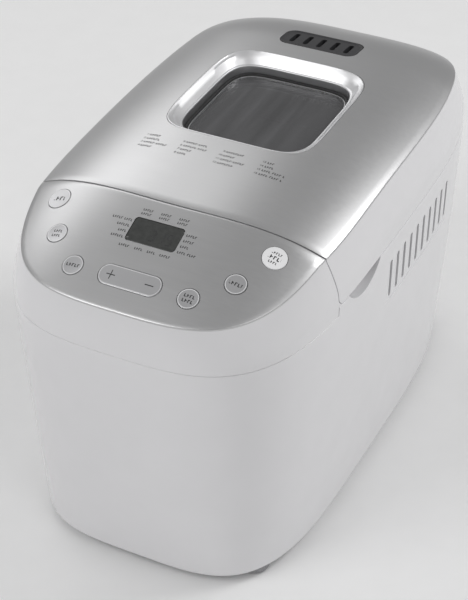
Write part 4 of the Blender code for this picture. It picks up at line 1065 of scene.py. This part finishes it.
# A thin ring of bright silver just inside the seal, lying on the glass: a painted highlight along the glass
# edge.
shape.loft(window_rings((12.35, 268.2), (12.4, 268.9), (12.9, 268.9), (13, 268.2)), loop=True, tone=1)
shape.loft(window_rings((6.3, 260.2), (6.3, 264.6), (14, 264.6), (14, 260.2)), loop=True)
settle(shape.piece("window_gasket", seal_rubber, bright_silver), "lid", "window_seal",
       slot="black_seal")
pane = window_rings((9.4, 265), (9, 265.4), (9, 267.6), (9.4, 268))
settle(lofted("window_pane", pane, smoked_glass), "lid", "window_glass", slot="smoked_glass")

# %% Vent insert
plan = rounded_box(*VENT_HALF, 9 * MM, VENT_Y)
rim = ((0.0, 4.5), (0.0, 0.5), (0.25, 0.1), (0.8, -0.1), (1.4, 0.1), (2.2, 0.7))
middle = (0, VENT_Y)
rings = skin_levels(plan, (1, 5), *rim)
rings += shrunk(inset(plan, 2.2 * MM), middle, 0.7 * MM, INNER_PATCHES)
vent = domed(Shape(), rings, middle, 5 * MM, 0.7 * MM).piece("vent_insert", textured_dark)
vent_row = slot_cutter("vent_row", 5, (12 * MM, 0, 0), 4.2 * MM, 16.4 * MM, 30 * MM, (0, 0, 0),
                       (-24 * MM, VENT_Y, 268 * MM), textured_dark)
settle(carve(vent, vent_row), "lid", "vent_grille", slot="dark_grille")
# A dark rubber plate under the vent slots paints the shade seen through them.
shape = Shape()
block(shape, (-31 * MM, VENT_Y - 11 * MM, 272 * MM), (31 * MM, VENT_Y + 11 * MM, 273 * MM))
settle(shape.piece("vent_baffle", seal_rubber), "lid")

# %% [markdown]
# ## Keys and display
# Each round key is turned: a shallow dish for the fingertip, a soft edge and a thin white ring printed just
# inside it. A key is drawn about its own axis and then laid on the sloping panel, so its press moves it
# straight into the surface. The display window is a dark lens with seven-segment figures behind it.

# %% Round keys
PROUD, DISH = 0.3 * MM, 0.25 * MM
for name, (x, y, radius) in KEYS.items():
    face = key_white if name == "key_start" else key_silver
    ring_in, ring_out = radius - 0.9 * MM, radius - 0.55 * MM
    turn, centre = key_frame(x, y)
    shape = Shape()

    def level(r, radius=radius):
        return PROUD - DISH * (1 - (r / radius) ** 2)

    def rings_of(profile, turn=turn, centre=centre):
        return [[centre + turn @ Vector((px, py, z)) for px, py in circle(r, 72)] for r, z in profile]

    side = [(2 * MM, -12.5 * MM), (2 * MM, -3 * MM), (radius, -3 * MM), (radius, PROUD - 0.3 * MM),
            (radius - 0.1 * MM, PROUD - 0.08 * MM), (radius - 0.35 * MM, PROUD)]
    dish = [(r, level(r)) for r in (ring_out, ring_in, radius * 0.75, radius * 0.5, radius * 0.25)]
    shape.loft(rings_of(side + dish), last=centre + turn @ Vector((0, 0, level(0))))
    band = [(ring_in, level(ring_in) - 0.1 * MM), (ring_in, level(ring_in) + 0.04 * MM),
            (ring_out, level(ring_out) + 0.04 * MM), (ring_out, level(ring_out) - 0.1 * MM)]
    shape.loft(rings_of(band), loop=True, tone=1)
    slot = "white_key" if name == "key_start" else "silver_key"
    settle(shape.piece(f"{name}_cap", face, ink_white), name, name, slot=slot)

# %% Plus and minus rocker, with its two signs
shape = Shape()
plan = pill(*ROCKER_HALF, ROCKER_Y)
rocker_middle = (0, ROCKER_Y)
rings = skin_levels(plan, (0, 2.7), (0, 0), (0.1, -0.22)) + [on_top(inset(plan, 0.35 * MM), -PROUD)]
rings += shrunk(inset(plan, 0.9 * MM), rocker_middle, -PROUD, (1, *INNER_PATCHES))
domed(shape, rings, rocker_middle, 2.7 * MM, -PROUD)
shape.loft(skin_levels(plan, (0.65, -0.2), (0.65, -0.34), (0.9, -0.34), (0.9, -0.2)), loop=True, tone=1)


def bar_on_top(shape, x, y, half_x, half_y, lift, tone, depth=0.15 * MM):
    """A thin printed bar that follows the top surface."""
    plan = [(x - half_x, y - half_y), (x + half_x, y - half_y), (x + half_x, y + half_y),
            (x - half_x, y + half_y)]
    shape.loft([on_top(plan, depth - lift), on_top(plan, -lift)], tone=tone)


for x in (-15.5 * MM, 15.5 * MM):
    bar_on_top(shape, x, ROCKER_Y, 3.4 * MM, 0.32 * MM, PROUD + 0.06 * MM, 2)
bar_on_top(shape, -15.5 * MM, ROCKER_Y, 0.32 * MM, 3.4 * MM, PROUD + 0.07 * MM, 2)
settle(shape.piece("rocker_cap", key_silver, ink_white, ink_grey), "key_plus_minus", "key_plus_minus",
       slot="silver_key")

# %% Display window and its figures
plan = rounded_box(*DISPLAY_HALF, 3 * MM, DISPLAY_Y)
display_middle = (0, DISPLAY_Y)
rings = skin_levels(plan, (0, 2), (0, 0.35), (0.25, 0.15))
rings += shrunk(inset(plan, 0.25 * MM), display_middle, 0.15 * MM, INNER_PATCHES)
shape = domed(Shape(), rings, display_middle, 2 * MM, 0.15 * MM)
settle(shape.piece("display_window", display_face), "machine", "lcd_lens", slot="display")

SEGMENTS = {"1": "bc", "3": "abcdg", "5": "acdfg"}
DIGIT_HALF, SEGMENT_HALF = (2.1 * MM, 4.2 * MM), 0.42 * MM
FIGURE_DEPTH = (-0.11 * MM, 0, 0.04 * MM)
shape = Shape()


def draw_digit(shape, digit, x, y):
    """Seven-segment figure centred on (x, y)."""
    half_x, half_y = DIGIT_HALF
    flat = {"a": half_y, "g": 0.0, "d": -half_y}
    upright = {"f": (-half_x, 0.5), "b": (half_x, 0.5), "e": (-half_x, -0.5), "c": (half_x, -0.5)}
    for segment in SEGMENTS[digit]:
        if segment in flat:
            spot = (x, y + flat[segment], half_x - 0.5 * MM, SEGMENT_HALF)
        else:
            dx, share = upright[segment]
            spot = (x + dx, y + share * half_y, SEGMENT_HALF, half_y / 2 - 0.5 * MM)
        bar_on_top(shape, *spot, *FIGURE_DEPTH)


for digit, x in (("3", -1.5), ("1", 5.5), ("5", 12.5)):
    draw_digit(shape, digit, x * MM, DISPLAY_Y - 1.5 * MM)
for rise in (-1.6 * MM, 1.6 * MM):
    bar_on_top(shape, 2 * MM, DISPLAY_Y - 1.5 * MM + rise, 0.4 * MM, 0.4 * MM, *FIGURE_DEPTH)
settle(shape.piece("display_figures", seal_rubber), "machine")

# %% [markdown]
# ## Printed marks
# Real panels carry words. Here every word is a row of plain letter-like marks of about its length, and only
# the programme numbers are drawn as figures. The marks are bars from a second node tree: each point of a
# small mesh holds a bar's size and the way its surface faces, and the tree lays one block on every point.

# %% The printed bar tree
bars = Grove("printed_bars", Thickness="Float", Material="Material")
size = bars.node("GeometryNodeInputNamedAttribute", {"data_type": "FLOAT_VECTOR"},
                 {"Name": "bar_size"})
facing = bars.node("GeometryNodeInputNamedAttribute", {"data_type": "FLOAT_VECTOR"},
                   {"Name": "bar_facing"})
unit = bars.node("GeometryNodeMeshCube", {}, {"Size": (1, 1, 1)})
turned = bars.node("FunctionNodeAlignRotationToVector", {"axis": "Z"}, {"Vector": facing})
parts = bars.node("ShaderNodeSeparateXYZ", {}, {"Vector": size})
width, height = parts, parts.node.outputs[1]
scale = bars.node("ShaderNodeCombineXYZ", {}, {"X": width, "Y": height, "Z": bars.given("Thickness")})
laid = bars.node("GeometryNodeInstanceOnPoints", {},
                 {"Points": bars.given("Geometry"), "Instance": unit, "Rotation": turned,
                  "Scale": scale})
bars.end(laid)


def print_bars(name, marks, body, surface, key=None):
    """Bars on the silver top or on a key's dish; marks are (x, y, width, height) in millimetres."""
    mesh = bpy.data.meshes.new(f"{name}_points")
    spots = []
    for x, y, _, _ in marks:
        lift = 0.03 * MM
        if key:
            off = math.hypot(x * MM - key[0], y * MM - key[1]) / key[2]
            lift = PROUD - DISH * (1 - off * off) + 0.05 * MM
        spots.append(Vector((x * MM, y * MM, top_z(x * MM, y * MM) + lift)))
    mesh.from_pydata(spots, [], [])
    sizes = mesh.attributes.new("bar_size", "FLOAT_VECTOR", "POINT")
    sizes.data.foreach_set("vector", [v for _, _, w, h in marks for v in (w * MM, h * MM, 0)])
    ways = mesh.attributes.new("bar_facing", "FLOAT_VECTOR", "POINT")
    ways.data.foreach_set("vector", [v for p in spots for v in top_normal(p.x, p.y)])
    thing = bars.grow(name, mesh, Thickness=0.08 * MM, Material=surface)
    return settle(thing, body)


LETTER_PITCH, WORD_GAP, STEM, ARM = 0.92, 0.6, 0.28, (0.44, 0.26)
ARM_PLACES = (-0.4, 0.05, 0.4, -0.4, 0.4)


def word_bars(x, y, letters, height=2.0):
    """Words in place of text from x: each letter is an upright with one short arm."""
    marks, i = [], 0
    for count in letters:
        for _ in range(count):
            arm = ARM_PLACES[i % 5] * height
            marks.append((x + 0.14 * height, y, STEM * height, height))
            marks.append((x + 0.42 * height, y + arm, ARM[0] * height, ARM[1] * height))
            x, i = x + LETTER_PITCH * height, i + 1
        x += WORD_GAP * height
    return marks


def words_width(letters, height=2.0):
    return (LETTER_PITCH * sum(letters) + WORD_GAP * (len(letters) - 1) - 0.3) * height


COLUMNS = (-59.6, -28.3, 5.4, 39.4)
WORDS = (((5,), (6,), (5, 5), (5,)), ((5, 4), (6, 4), (5,), (4,)),
         ((8,), (5,), (5, 5), (7,)), ((3,), (4,), (4, 4, 1), (4, 4, 1)))
ROWS_START, ROW_PITCH = -46.6, 4.9
marks = []
for column, (x, rows) in enumerate(zip(COLUMNS, WORDS)):
    for row, letters in enumerate(rows):
        marks += word_bars(x + 1.3, ROWS_START - ROW_PITCH * row, letters)
print_bars("programme_bars", marks, "lid", ink_grey)

marks = []
SMALL, CAPTIONS_TOP, CAPTION_PITCH = 1.85, -138.6, 4.7
sides = (((5, 4), (5,)), ((6,), (5,)), ((4,), (4,)), ((6,), (4, 4)))
for row, (left, right) in enumerate(sides):
    y = CAPTIONS_TOP - CAPTION_PITCH * row
    marks += word_bars(-21.8 - words_width(left, SMALL), y, left, SMALL)
    marks += word_bars(22.4, y, right, SMALL)
for x in (-14.4, 0.2, 15):
    for row, letters in enumerate(((5,), (5,))):
        marks += word_bars(x - words_width(letters, 1.8) / 2, -127.6 - 3.3 * row, letters, 1.8)
for x, letters in ((-21.6, 5), (-9, 4), (1.2, 4), (11.4, 5)):
    marks += word_bars(x, -158.6, (letters,), SMALL)
print_bars("panel_bars", marks, "machine", ink_grey)

key_words = {"key_menu": ((4, 3.4),), "key_start": ((5, 1.9), (5, 2.9), (4, 1.9)),
             "key_loaf_size": ((4, 2.0), (4, 2.0)), "key_colour": ((5, 2.6),),
             "key_dough": ((5, 2.4),), "key_home_made": ((4, 2.4), (4, 2.4))}
for name, rows in key_words.items():
    x, y, _ = (v / MM for v in KEYS[name])
    marks = []
    for row, (letters, height) in enumerate(rows):
        down = (row - (len(rows) - 1) / 2) * 3.7
        marks += word_bars(x - words_width((letters,), height) / 2, y - down, (letters,), height)
    print_bars(f"{name}_bars", marks, name, ink_grey, KEYS[name])


# %% Programme numbers
def printed_text(words, x, y, height):
    """Figures as a thin solid that follows the silver top; x and y are the right end of the line."""
    curve = bpy.data.curves.new("figures", "FONT")
    curve.body, curve.size, curve.extrude, curve.resolution_u = words, height, 0.03 * MM, 3
    curve.align_x, curve.align_y = "RIGHT", "CENTER"
    holder = bpy.data.objects.new("figures", curve)
    bpy.context.scene.collection.objects.link(holder)
    bpy.context.view_layer.update()
    mesh = bpy.data.meshes.new_from_object(holder.evaluated_get(
        bpy.context.evaluated_depsgraph_get()))
    bpy.data.objects.remove(holder)
    for vertex in mesh.vertices:
        spot = (x + vertex.co.x, y + vertex.co.y)
        vertex.co = (*spot, top_z(*spot) + 0.02 * MM + vertex.co.z)
    return mesh


shape = Shape()
for column, x in enumerate(COLUMNS):
    for row in range(4):
        mesh = printed_text(str(1 + row + 4 * column), x * MM, (ROWS_START - ROW_PITCH * row) * MM,
                            3.0 * MM)
        shape.bm.from_mesh(mesh)
bmesh.ops.remove_doubles(shape.bm, verts=shape.bm.verts, dist=0.001 * MM)
settle(shape.piece("programme_numbers", ink_grey), "lid")

# %% [markdown]
# ## Feet, base and back
# The machine stands on four rubber feet. Under it, cooling slots and four cross-head screws show when it is
# turned over, and the cord inlet has grip ribs. Ribs and slots repeat, so node trees place them.

# %% Feet with ribs from a node tree
ribs = Grove("rib_ring", Count="Int", Radius="Float", Rib="Vector", Material="Material")
round_line = ribs.node("GeometryNodeMeshCircle", {}, {"Vertices": ribs.given("Count"),
                                                      "Radius": ribs.given("Radius")})
where = ribs.node("GeometryNodeInputPosition")
outward = ribs.node("FunctionNodeAlignRotationToVector", {"axis": "X"}, {"Vector": where})
rib = ribs.node("GeometryNodeMeshCube", {}, {"Size": ribs.given("Rib")})
ring = ribs.node("GeometryNodeInstanceOnPoints", {},
                 {"Points": round_line, "Instance": rib, "Rotation": outward})
ribs.end(ring)


def rib_mesh(count, radius, rib, matrix):
    thing = ribs.grow("rib_ring", Count=count, Radius=radius, Rib=rib, Material=foot_rubber)
    mesh = thing.data
    mesh.transform(matrix)
    bpy.data.objects.remove(thing)
    return mesh


FEET = {"front_left": (-84, -170), "front_right": (84, -170), "rear_left": (-84, 148),
        "rear_right": (84, 148)}
SCREWS = [(x * MM, y * MM, 0) for y in (-150, 130) for x in (-62, 62)]
for word, (x, y) in FEET.items():
    shape = Shape()
    profile = [(0.25, 8.2), (0.0, 9.2), (0.0, 10.1), (0.35, 10.6), (1.3, 11.6), (2.2, 12), (6.3, 12),
               (6.7, 11.6), (6.7, 6), (7, 6)]
    disc_stack(shape, [(z * MM, r * MM) for z, r in profile], (x * MM, y * MM, 0), sides=64)
    shape.bm.from_mesh(rib_mesh(24, 11.9 * MM, (0.5 * MM, 0.8 * MM, 3.2 * MM),
                                Matrix.Translation((x * MM, y * MM, 4.4 * MM))))
    settle(shape.piece(f"rubber_foot_{word}", foot_rubber), "machine", f"foot_{word}",
           slot="foot_rubber")

# %% Base plate with cooling slots
base_edge = [tuple(superellipse(even_angle(2 * math.pi * i / 200, BASE_ROUNDNESS), BASE_HALF_WIDTH,
                                BASE_FRONT, BASE_BACK, BASE_ROUNDNESS)) for i in range(200)]
base_edge = inset(base_edge, EDGE + WALL + 1 * MM)
base = lofted("bottom_cover", levels(base_edge, (0.4, 7.3), (0, 7.6), (0, 9.8)), gloss_white)
for first_y in (-105 * MM, -30 * MM, 60 * MM):
    row = slot_cutter("base_row", 9, (12 * MM, 0, 0), 4 * MM, 42 * MM, 10 * MM, (0, 0, 0),
                      (-48 * MM, first_y, 4 * MM), gloss_white)
    carve(base, row)
holes, posts = Shape(), Shape()
for spot in SCREWS:
    disc_stack(holes, [(5 * MM, 2.2 * MM), (12 * MM, 2.2 * MM)], spot)
    posts.loft([[(spot[0] + r * c * MM, spot[1] + r * s * MM, z * MM) for c, s in circle(1)]
                for r, z in ((2.2, 9.9), (5, 9.9), (5, 47.7), (2.2, 47.7))], loop=True)
carve(base, holes.piece("screw_holes", gloss_white))
settle(base, "machine", "base_plate", slot="white_casing")
settle(posts.piece("base_posts", gloss_white), "machine", slot="white_casing")

# %% Cross-head screws from a node tree
screws = Grove("screw_set", Head="Object", Material="Material")
head = screws.node("GeometryNodeObjectInfo", {"transform_space": "ORIGINAL"},
                   {"Object": screws.given("Head")}, output=4)
placed = screws.node("GeometryNodeInstanceOnPoints", {},
                     {"Points": screws.given("Geometry"), "Instance": head})
screws.end(placed)
shape = Shape()
profile = ((4.4, 2.2), (4.1, 3.1), (4.3, 3.5), (6.9, 3.6), (7, 1.8), (30, 1.8))
disc_stack(shape, [(z * MM, r * MM) for z, r in profile], (0, 0, 0), sides=32)
pattern = shape.piece("screw_pattern", bright_steel)
for half_x, half_y in ((2 * MM, 0.4 * MM), (0.4 * MM, 2 * MM)):
    shape = Shape()
    block(shape, (-half_x, -half_y, 3 * MM), (half_x, half_y, 5.6 * MM))
    carve(pattern, shape.piece("cross_slot", bright_steel))
mesh = bpy.data.meshes.new("screw_points")
mesh.from_pydata(SCREWS, [], [])
screw_set = screws.grow("base_screws", mesh, Head=pattern, Material=bright_steel)
smooth(screw_set.data)
bpy.data.objects.remove(pattern)
settle(screw_set, "machine", *[f"base_screw_{word}" for word in FEET], slot="steel")

# %% Cord inlet
back_y = wall_point(math.pi / 2, 36 * MM).y
shape = Shape()
inlet = Vector((70 * MM, 178 * MM, 36 * MM))
length = back_y + 4 * MM - inlet.y
rings = [[inlet + Vector((r * c, along, r * s)) for c, s in circle(1, 64)]
         for r, along in ((4 * MM, 0), (9 * MM, 0), (9 * MM, length - 0.8 * MM),
                          (8.2 * MM, length), (5 * MM, length), (4 * MM, length - 1 * MM))]
shape.loft(rings, loop=True)
turn = Matrix.Translation(inlet + Vector((0, length - 2.2 * MM, 0))) @ Matrix.Rotation(
    math.pi / 2, 4, "X")
shape.bm.from_mesh(rib_mesh(20, 8.9 * MM, (0.7 * MM, 1.1 * MM, 3 * MM), turn))
settle(shape.piece("inlet_bush", nylon), "machine", "cord_inlet", slot="pulley_plastic")

# %% [markdown]
# ## Inside the oven
# The oven is a pressed box of thin sheet with wide corner radii. The heater is a rod that follows its
# walls, and the pan hangs over two couplings on an oval seat. Rods and wires follow a path, so a third node
# tree sweeps a round section along points given in Python.

# %% Oven liner
wall = rounded_box(92 * MM, 135 * MM, 36 * MM, OVEN_Y, 20, 5)
inside = inset(wall, 1.5 * MM)
flange = inset(wall, -6 * MM)
rings = levels(wall, (4, 62), (1.2, 63.2), (0, 66), (0, 214.3))
rings += levels(flange, (0, 214.3), (0, 215.2), (0.3, 215.5))
rings += levels(inside, (-1, 215.5), (-0.3, 215.2), (0, 214.5), (0, 67), (1, 64.6), (3.4, 63.5))
liner = lofted("oven_liner", rings, rolled_aluminium)
shape = Shape()
SHAFT_YS = {"a": -20 * MM, "b": 90 * MM}
for y in SHAFT_YS.values():
    disc_stack(shape, [(55 * MM, 9.6 * MM), (70 * MM, 9.6 * MM)], (0, y, 0))
oven_front = OVEN_Y - 135 * MM
for x, z in ((-14, 78), (14, 78), (45, 110)):
    disc_stack(shape, [(-6 * MM, 4 * MM), (8 * MM, 4 * MM)], (x * MM, oven_front, z * MM), "Y")
settle(carve(liner, shape.piece("liner_holes", rolled_aluminium)), "machine", "oven_chamber",
       slot="liner_metal")

# %% The rod tree, the heater and the pan's wire handle
rods = Grove("rod_on_path", Radius="Float", Sides="Int", Material="Material")
path = rods.node("GeometryNodeMeshToCurve", {}, {"Mesh": rods.given("Geometry")})
section = rods.node("GeometryNodeCurvePrimitiveCircle", {"mode": "RADIUS"},
                    {"Resolution": rods.given("Sides"), "Radius": rods.given("Radius")})
rod = rods.node("GeometryNodeCurveToMesh", {}, {"Curve": path, "Profile Curve": section,
                                                "Fill Caps": True})
rods.end(rod)


def rounded_path(corners, radius, steps=10):
    """Path through corners, each corner turned on a smooth bend."""
    corners = [Vector(c) for c in corners]
    points = [corners[0]]
    for before, corner, after in zip(corners, corners[1:], corners[2:]):
        start = corner + (before - corner).normalized() * radius
        end = corner + (after - corner).normalized() * radius
        points += [(1 - t) ** 2 * start + 2 * t * (1 - t) * corner + t ** 2 * end
                   for t in spread(0, 1, steps)]
    points.append(corners[-1])
    return points


def rod_piece(name, points, radius, surface):
    mesh = bpy.data.meshes.new(f"{name}_path")
    mesh.from_pydata(points, [(i, i + 1) for i in range(len(points) - 1)], [])
    thing = rods.grow(name, mesh, Radius=radius, Sides=20, Material=surface)
    smooth(thing.data, 50)
    return thing


z, half_x, half_y = 78 * MM, 79 * MM, 123 * MM
corners = [(-14 * MM, oven_front - 12 * MM, z), (-14 * MM, OVEN_Y - half_y, z),
           (-half_x, OVEN_Y - half_y, z), (-half_x, OVEN_Y + half_y, z),
           (half_x, OVEN_Y + half_y, z), (half_x, OVEN_Y - half_y, z),
           (14 * MM, OVEN_Y - half_y, z), (14 * MM, oven_front - 12 * MM, z)]
heater_path = rounded_path(corners[:3], 8 * MM)[:-1] + rounded_path(corners[1:7], 26 * MM)[1:-1]
heater_path += rounded_path(corners[5:], 8 * MM)[1:]
settle(rod_piece("heater_rod", heater_path, 3.2 * MM, heater_sheath), "machine", "heating_element",
       slot="steel")

PIVOT_Z, BAIL_REACH, BAIL_REST = 180 * MM, 60 * MM, math.radians(19.5)
near = OVEN_Y - 113 * MM - 5.6 * MM
far = 2 * OVEN_Y - near
reach = Vector((BAIL_REACH * math.cos(BAIL_REST), 0, BAIL_REACH * math.sin(BAIL_REST)))
share = 4.8 * MM / BAIL_REACH
corners = [Vector((0, near, PIVOT_Z)) + reach * share, Vector((0, near, PIVOT_Z)) + reach,
           Vector((0, far, PIVOT_Z)) + reach, Vector((0, far, PIVOT_Z)) + reach * share]
bail = rod_piece("wire_bail", rounded_path(corners, 14 * MM), 2.2 * MM, bright_steel)
settle(bail, "handle", "pan_handle", slot="steel")
shape = Shape()
for y in (near, far):
    rings = []
    for a in spread(0, 2 * math.pi * 11 / 12, 12):
        r, along = 4.7 * MM + 1.3 * MM * math.cos(a), 1.6 * MM * math.sin(a)
        rings.append([(r * c, y + along, PIVOT_Z + r * s) for c, s in circle(1, 40)])
    shape.loft(rings, loop=True)
settle(shape.piece("bail_eyes", bright_steel), "handle", slot="steel")

# %% [markdown]
# ## Pan and paddles
# The baking pan is deep-drawn metal with a rolled lip and a grey non-stick coat. Its two bosses hold the
# shafts, and an ear at each end carries the wire handle. The paddles slip over the shafts: a tapered hub
# with one blade whose top edge falls towards its tip.

# %% Baking pan
PAN_LOW, PAN_HIGH, PAN_WALL = 84 * MM, 196 * MM, 1.6
top = rounded_box(66 * MM, 113 * MM, 24 * MM, OVEN_Y, 18, 5)
foot = inset(top, 4 * MM)
bead = [(-1 - 1.5 * math.cos(a), 1.5 * math.sin(a) - 1.5) for a in spread(-math.pi / 2, math.pi / 2, 9)]
rings = levels(foot, (4, 0), (1.2, 1.2), (0, 4), base=PAN_LOW)
rings += levels(top, (0, -3.2), *bead, (0.8, 0), (PAN_WALL, -0.8), base=PAN_HIGH)
rings += levels(foot, (PAN_WALL, 4.8), (1.2 + PAN_WALL, 2.6), (4 + PAN_WALL, PAN_WALL), base=PAN_LOW)
pan = lofted("baking_pan", rings, non_stick, bright_steel, crease=50)
bosses, bores, ears = Shape(), Shape(), Shape()
for y in SHAFT_YS.values():
    disc_stack(bosses, [(-3 * MM, 12.6 * MM), (-2.6 * MM, 13 * MM), (8 * MM, 11.2 * MM),
                        (9 * MM, 10.2 * MM)], (0, y, PAN_LOW), tone=1)
    disc_stack(bores, [(-8 * MM, 4.4 * MM), (14 * MM, 4.4 * MM)], (0, y, PAN_LOW))
for side in (-1, 1):
    spot = (0, OVEN_Y + side * 112.5 * MM, PIVOT_Z)
    steps = [(-1.5, 3), (7.6, 3), (7.6, 3.9), (8.2, 3.9), (8.5, 3.4)]
    steps = [(side * along * MM, r * MM) for along, r in steps]
    disc_stack(ears, steps if side > 0 else steps[::-1], spot, "Y", 32, tone=1)
carve(pan, bosses.piece("bosses", non_stick, bright_steel), "UNION")
carve(pan, ears.piece("ears", non_stick, bright_steel), "UNION")
carve(pan, bores.piece("bores", non_stick), crease=50)
settle(pan, "pan", "bread_pan", slot="non_stick")

# %% Kneading paddles
for word, y, body in (("a", SHAFT_YS["a"], "front_paddle"), ("b", SHAFT_YS["b"], "rear_paddle")):
    low = PAN_LOW + 10 * MM
    shape = Shape()
    profile = [(4.4, 0.2), (8.8, 0.0), (9, 0.4), (8.1, 22.6), (7.4, 23.7), (6.2, 24), (4.4, 23.8)]
    rings = [[(r * MM * c, y + r * MM * s, low + z * MM) for c, s in circle(1, 48)]
             for r, z in profile]
    shape.loft(rings, loop=True)
    blade = []
    for t in spread(0, 1, 18):
        x = (6.5 + 29.5 * t) * MM
        thick = (3.0 - 1.9 * t ** 1.5) * MM * (1 if t < 1 else 0.4)
        high = (19.5 - 7.5 * t ** 2.2 - (2.0 if t == 1 else 0)) * MM
        middle, half_z = low + 0.6 * MM + high / 2, high / 2
        blade.append([(x, y + thick * signed_power(c, 0.6), middle + half_z * signed_power(s, 0.35))
                      for c, s in circle(1, 40)])
    shape.loft(blade)
    settle(shape.piece(f"paddle_{word}", non_stick), body, f"kneading_paddle_{word}",
           slot="non_stick")

# %% [markdown]
# ## Underside of the lid
# When the lid swings up it shows a shallow aluminium tray with a second pane under the window and a row of
# steam holes under the vent. The row is the slot tree again.

# %% Lid liner, inner pane and its seal
tray = rounded_box(104 * MM, 142 * MM, 40 * MM, OVEN_Y + 3 * MM, 20, 5)
tray_in = inset(tray, 1.2 * MM)
rings = levels(tray, (3, 226), (0.9, 226.9), (0, 229), (0, 238))
rings += levels(tray_in, (0, 238), (0, 229.4), (2, 227.2))
lid_liner = lofted("lid_liner", rings, rolled_aluminium)
pane_hole = rounded_box(54 * MM, 56 * MM, 14 * MM, WINDOW_Y)
carve(lid_liner, lofted("pane_hole", levels(pane_hole, (0, 220), (0, 232)), rolled_aluminium))
steam_row = slot_cutter("steam_row", 7, (7 * MM, 0, 0), 2.6 * MM, 12 * MM, 10 * MM, (0, 0, 0),
                        (-21 * MM, VENT_Y, 222 * MM), rolled_aluminium)
settle(carve(lid_liner, steam_row), "lid", "inner_lid", slot="liner_metal")
rings = levels(inset(pane_hole, GAP), (0.4, 225.6), (0, 226), (0, 228.2), (0.4, 228.6))
settle(lofted("inner_pane", rings, smoked_glass), "lid", "inner_glass", slot="smoked_glass")
rings = levels(pane_hole, (0, 225.9), (-3.4, 225.9), (-3, 224.9), (0.8, 224.7), (1.2, 225.5))
settle(lofted("inner_gasket", rings, seal_rubber, loop=True), "lid")

# %% [markdown]
# ## Floor, light and camera
# The machine stands on a pale floor in even studio light. Satin metal shows what it mirrors, so one wide
# softbox stands at the left and rear, where the top mirrors it, and the others stand where it does not.
# Those light the floor, the louvred side and the front. The camera looks down from the front right.

# %% Floor and world
shape = Shape()
disc_stack(shape, [(-20 * MM, 6), (-0.02 * MM, 6)], (0, 0, 0), sides=64)
floor_paint = plastic("floor_paint", (0.90, 0.90, 0.90), 0.6, peel=300.0)
floor = shape.piece("studio_floor", floor_paint)
floor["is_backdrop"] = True
world = bpy.context.scene.world or bpy.data.worlds.new("studio")
bpy.context.scene.world = world
world.use_nodes = True
sky = world.node_tree.nodes["Background"]
sky.inputs["Color"].default_value = (1.0, 1.0, 1.0, 1.0)
sky.inputs["Strength"].default_value = 0.36
bpy.context.scene.view_settings.view_transform = "Standard"


# %% Softboxes
AIM = Vector((0, 0, 0.2))


def softbox(name, place, width, height, watts):
    """An area light that points at the middle of the machine; sizes in metres."""
    data = bpy.data.lights.new(name, "AREA")
    data.shape, data.size, data.size_y, data.energy = "RECTANGLE", width, height, watts
    lamp = bpy.data.objects.new(name, data)
    lamp.location = place
    lamp.rotation_euler = (AIM - Vector(place)).to_track_quat("-Z", "Y").to_euler()
    bpy.context.scene.collection.objects.link(lamp)


softbox("left_box", (-1.7, 1.05, 1.75), 2.0, 1.1, 10)
softbox("rear_box", (1.35, 1.1, 1.8), 0.8, 0.8, 17)
softbox("right_box", (1.5, -0.8, 1.7), 1.0, 1.0, 5)
softbox("front_fill", (-1.0, -1.5, 1.7), 1.2, 1.2, 14)

# %% Camera
TARGET, DISTANCE, LENS = Vector((-2.2, -29, 130.8)) * MM, 1404.2 * MM, 105.0
azimuth, elevation, roll = (math.radians(a) for a in (28.914, 37.601, -2.422))
back = Vector((math.sin(azimuth) * math.cos(elevation), -math.cos(azimuth) * math.cos(elevation),
               math.sin(elevation)))
right = (-back).cross(Vector((0, 0, 1))).normalized()
up = right.cross(-back)
right, up = (right * math.cos(roll) + up * math.sin(roll),
             up * math.cos(roll) - right * math.sin(roll))
lens = bpy.data.cameras.new("camera")
lens.lens, lens.sensor_width = LENS, 36
camera = bpy.data.objects.new("camera", lens)
camera.matrix_world = Matrix.Translation(TARGET + back * DISTANCE) @ Matrix(
    (right, up, back)).transposed().to_4x4()
bpy.context.scene.collection.objects.link(camera)
bpy.context.scene.camera = camera

low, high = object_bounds()
print("visual size in mm:", [round(v / MM, 1) for v in high - low])
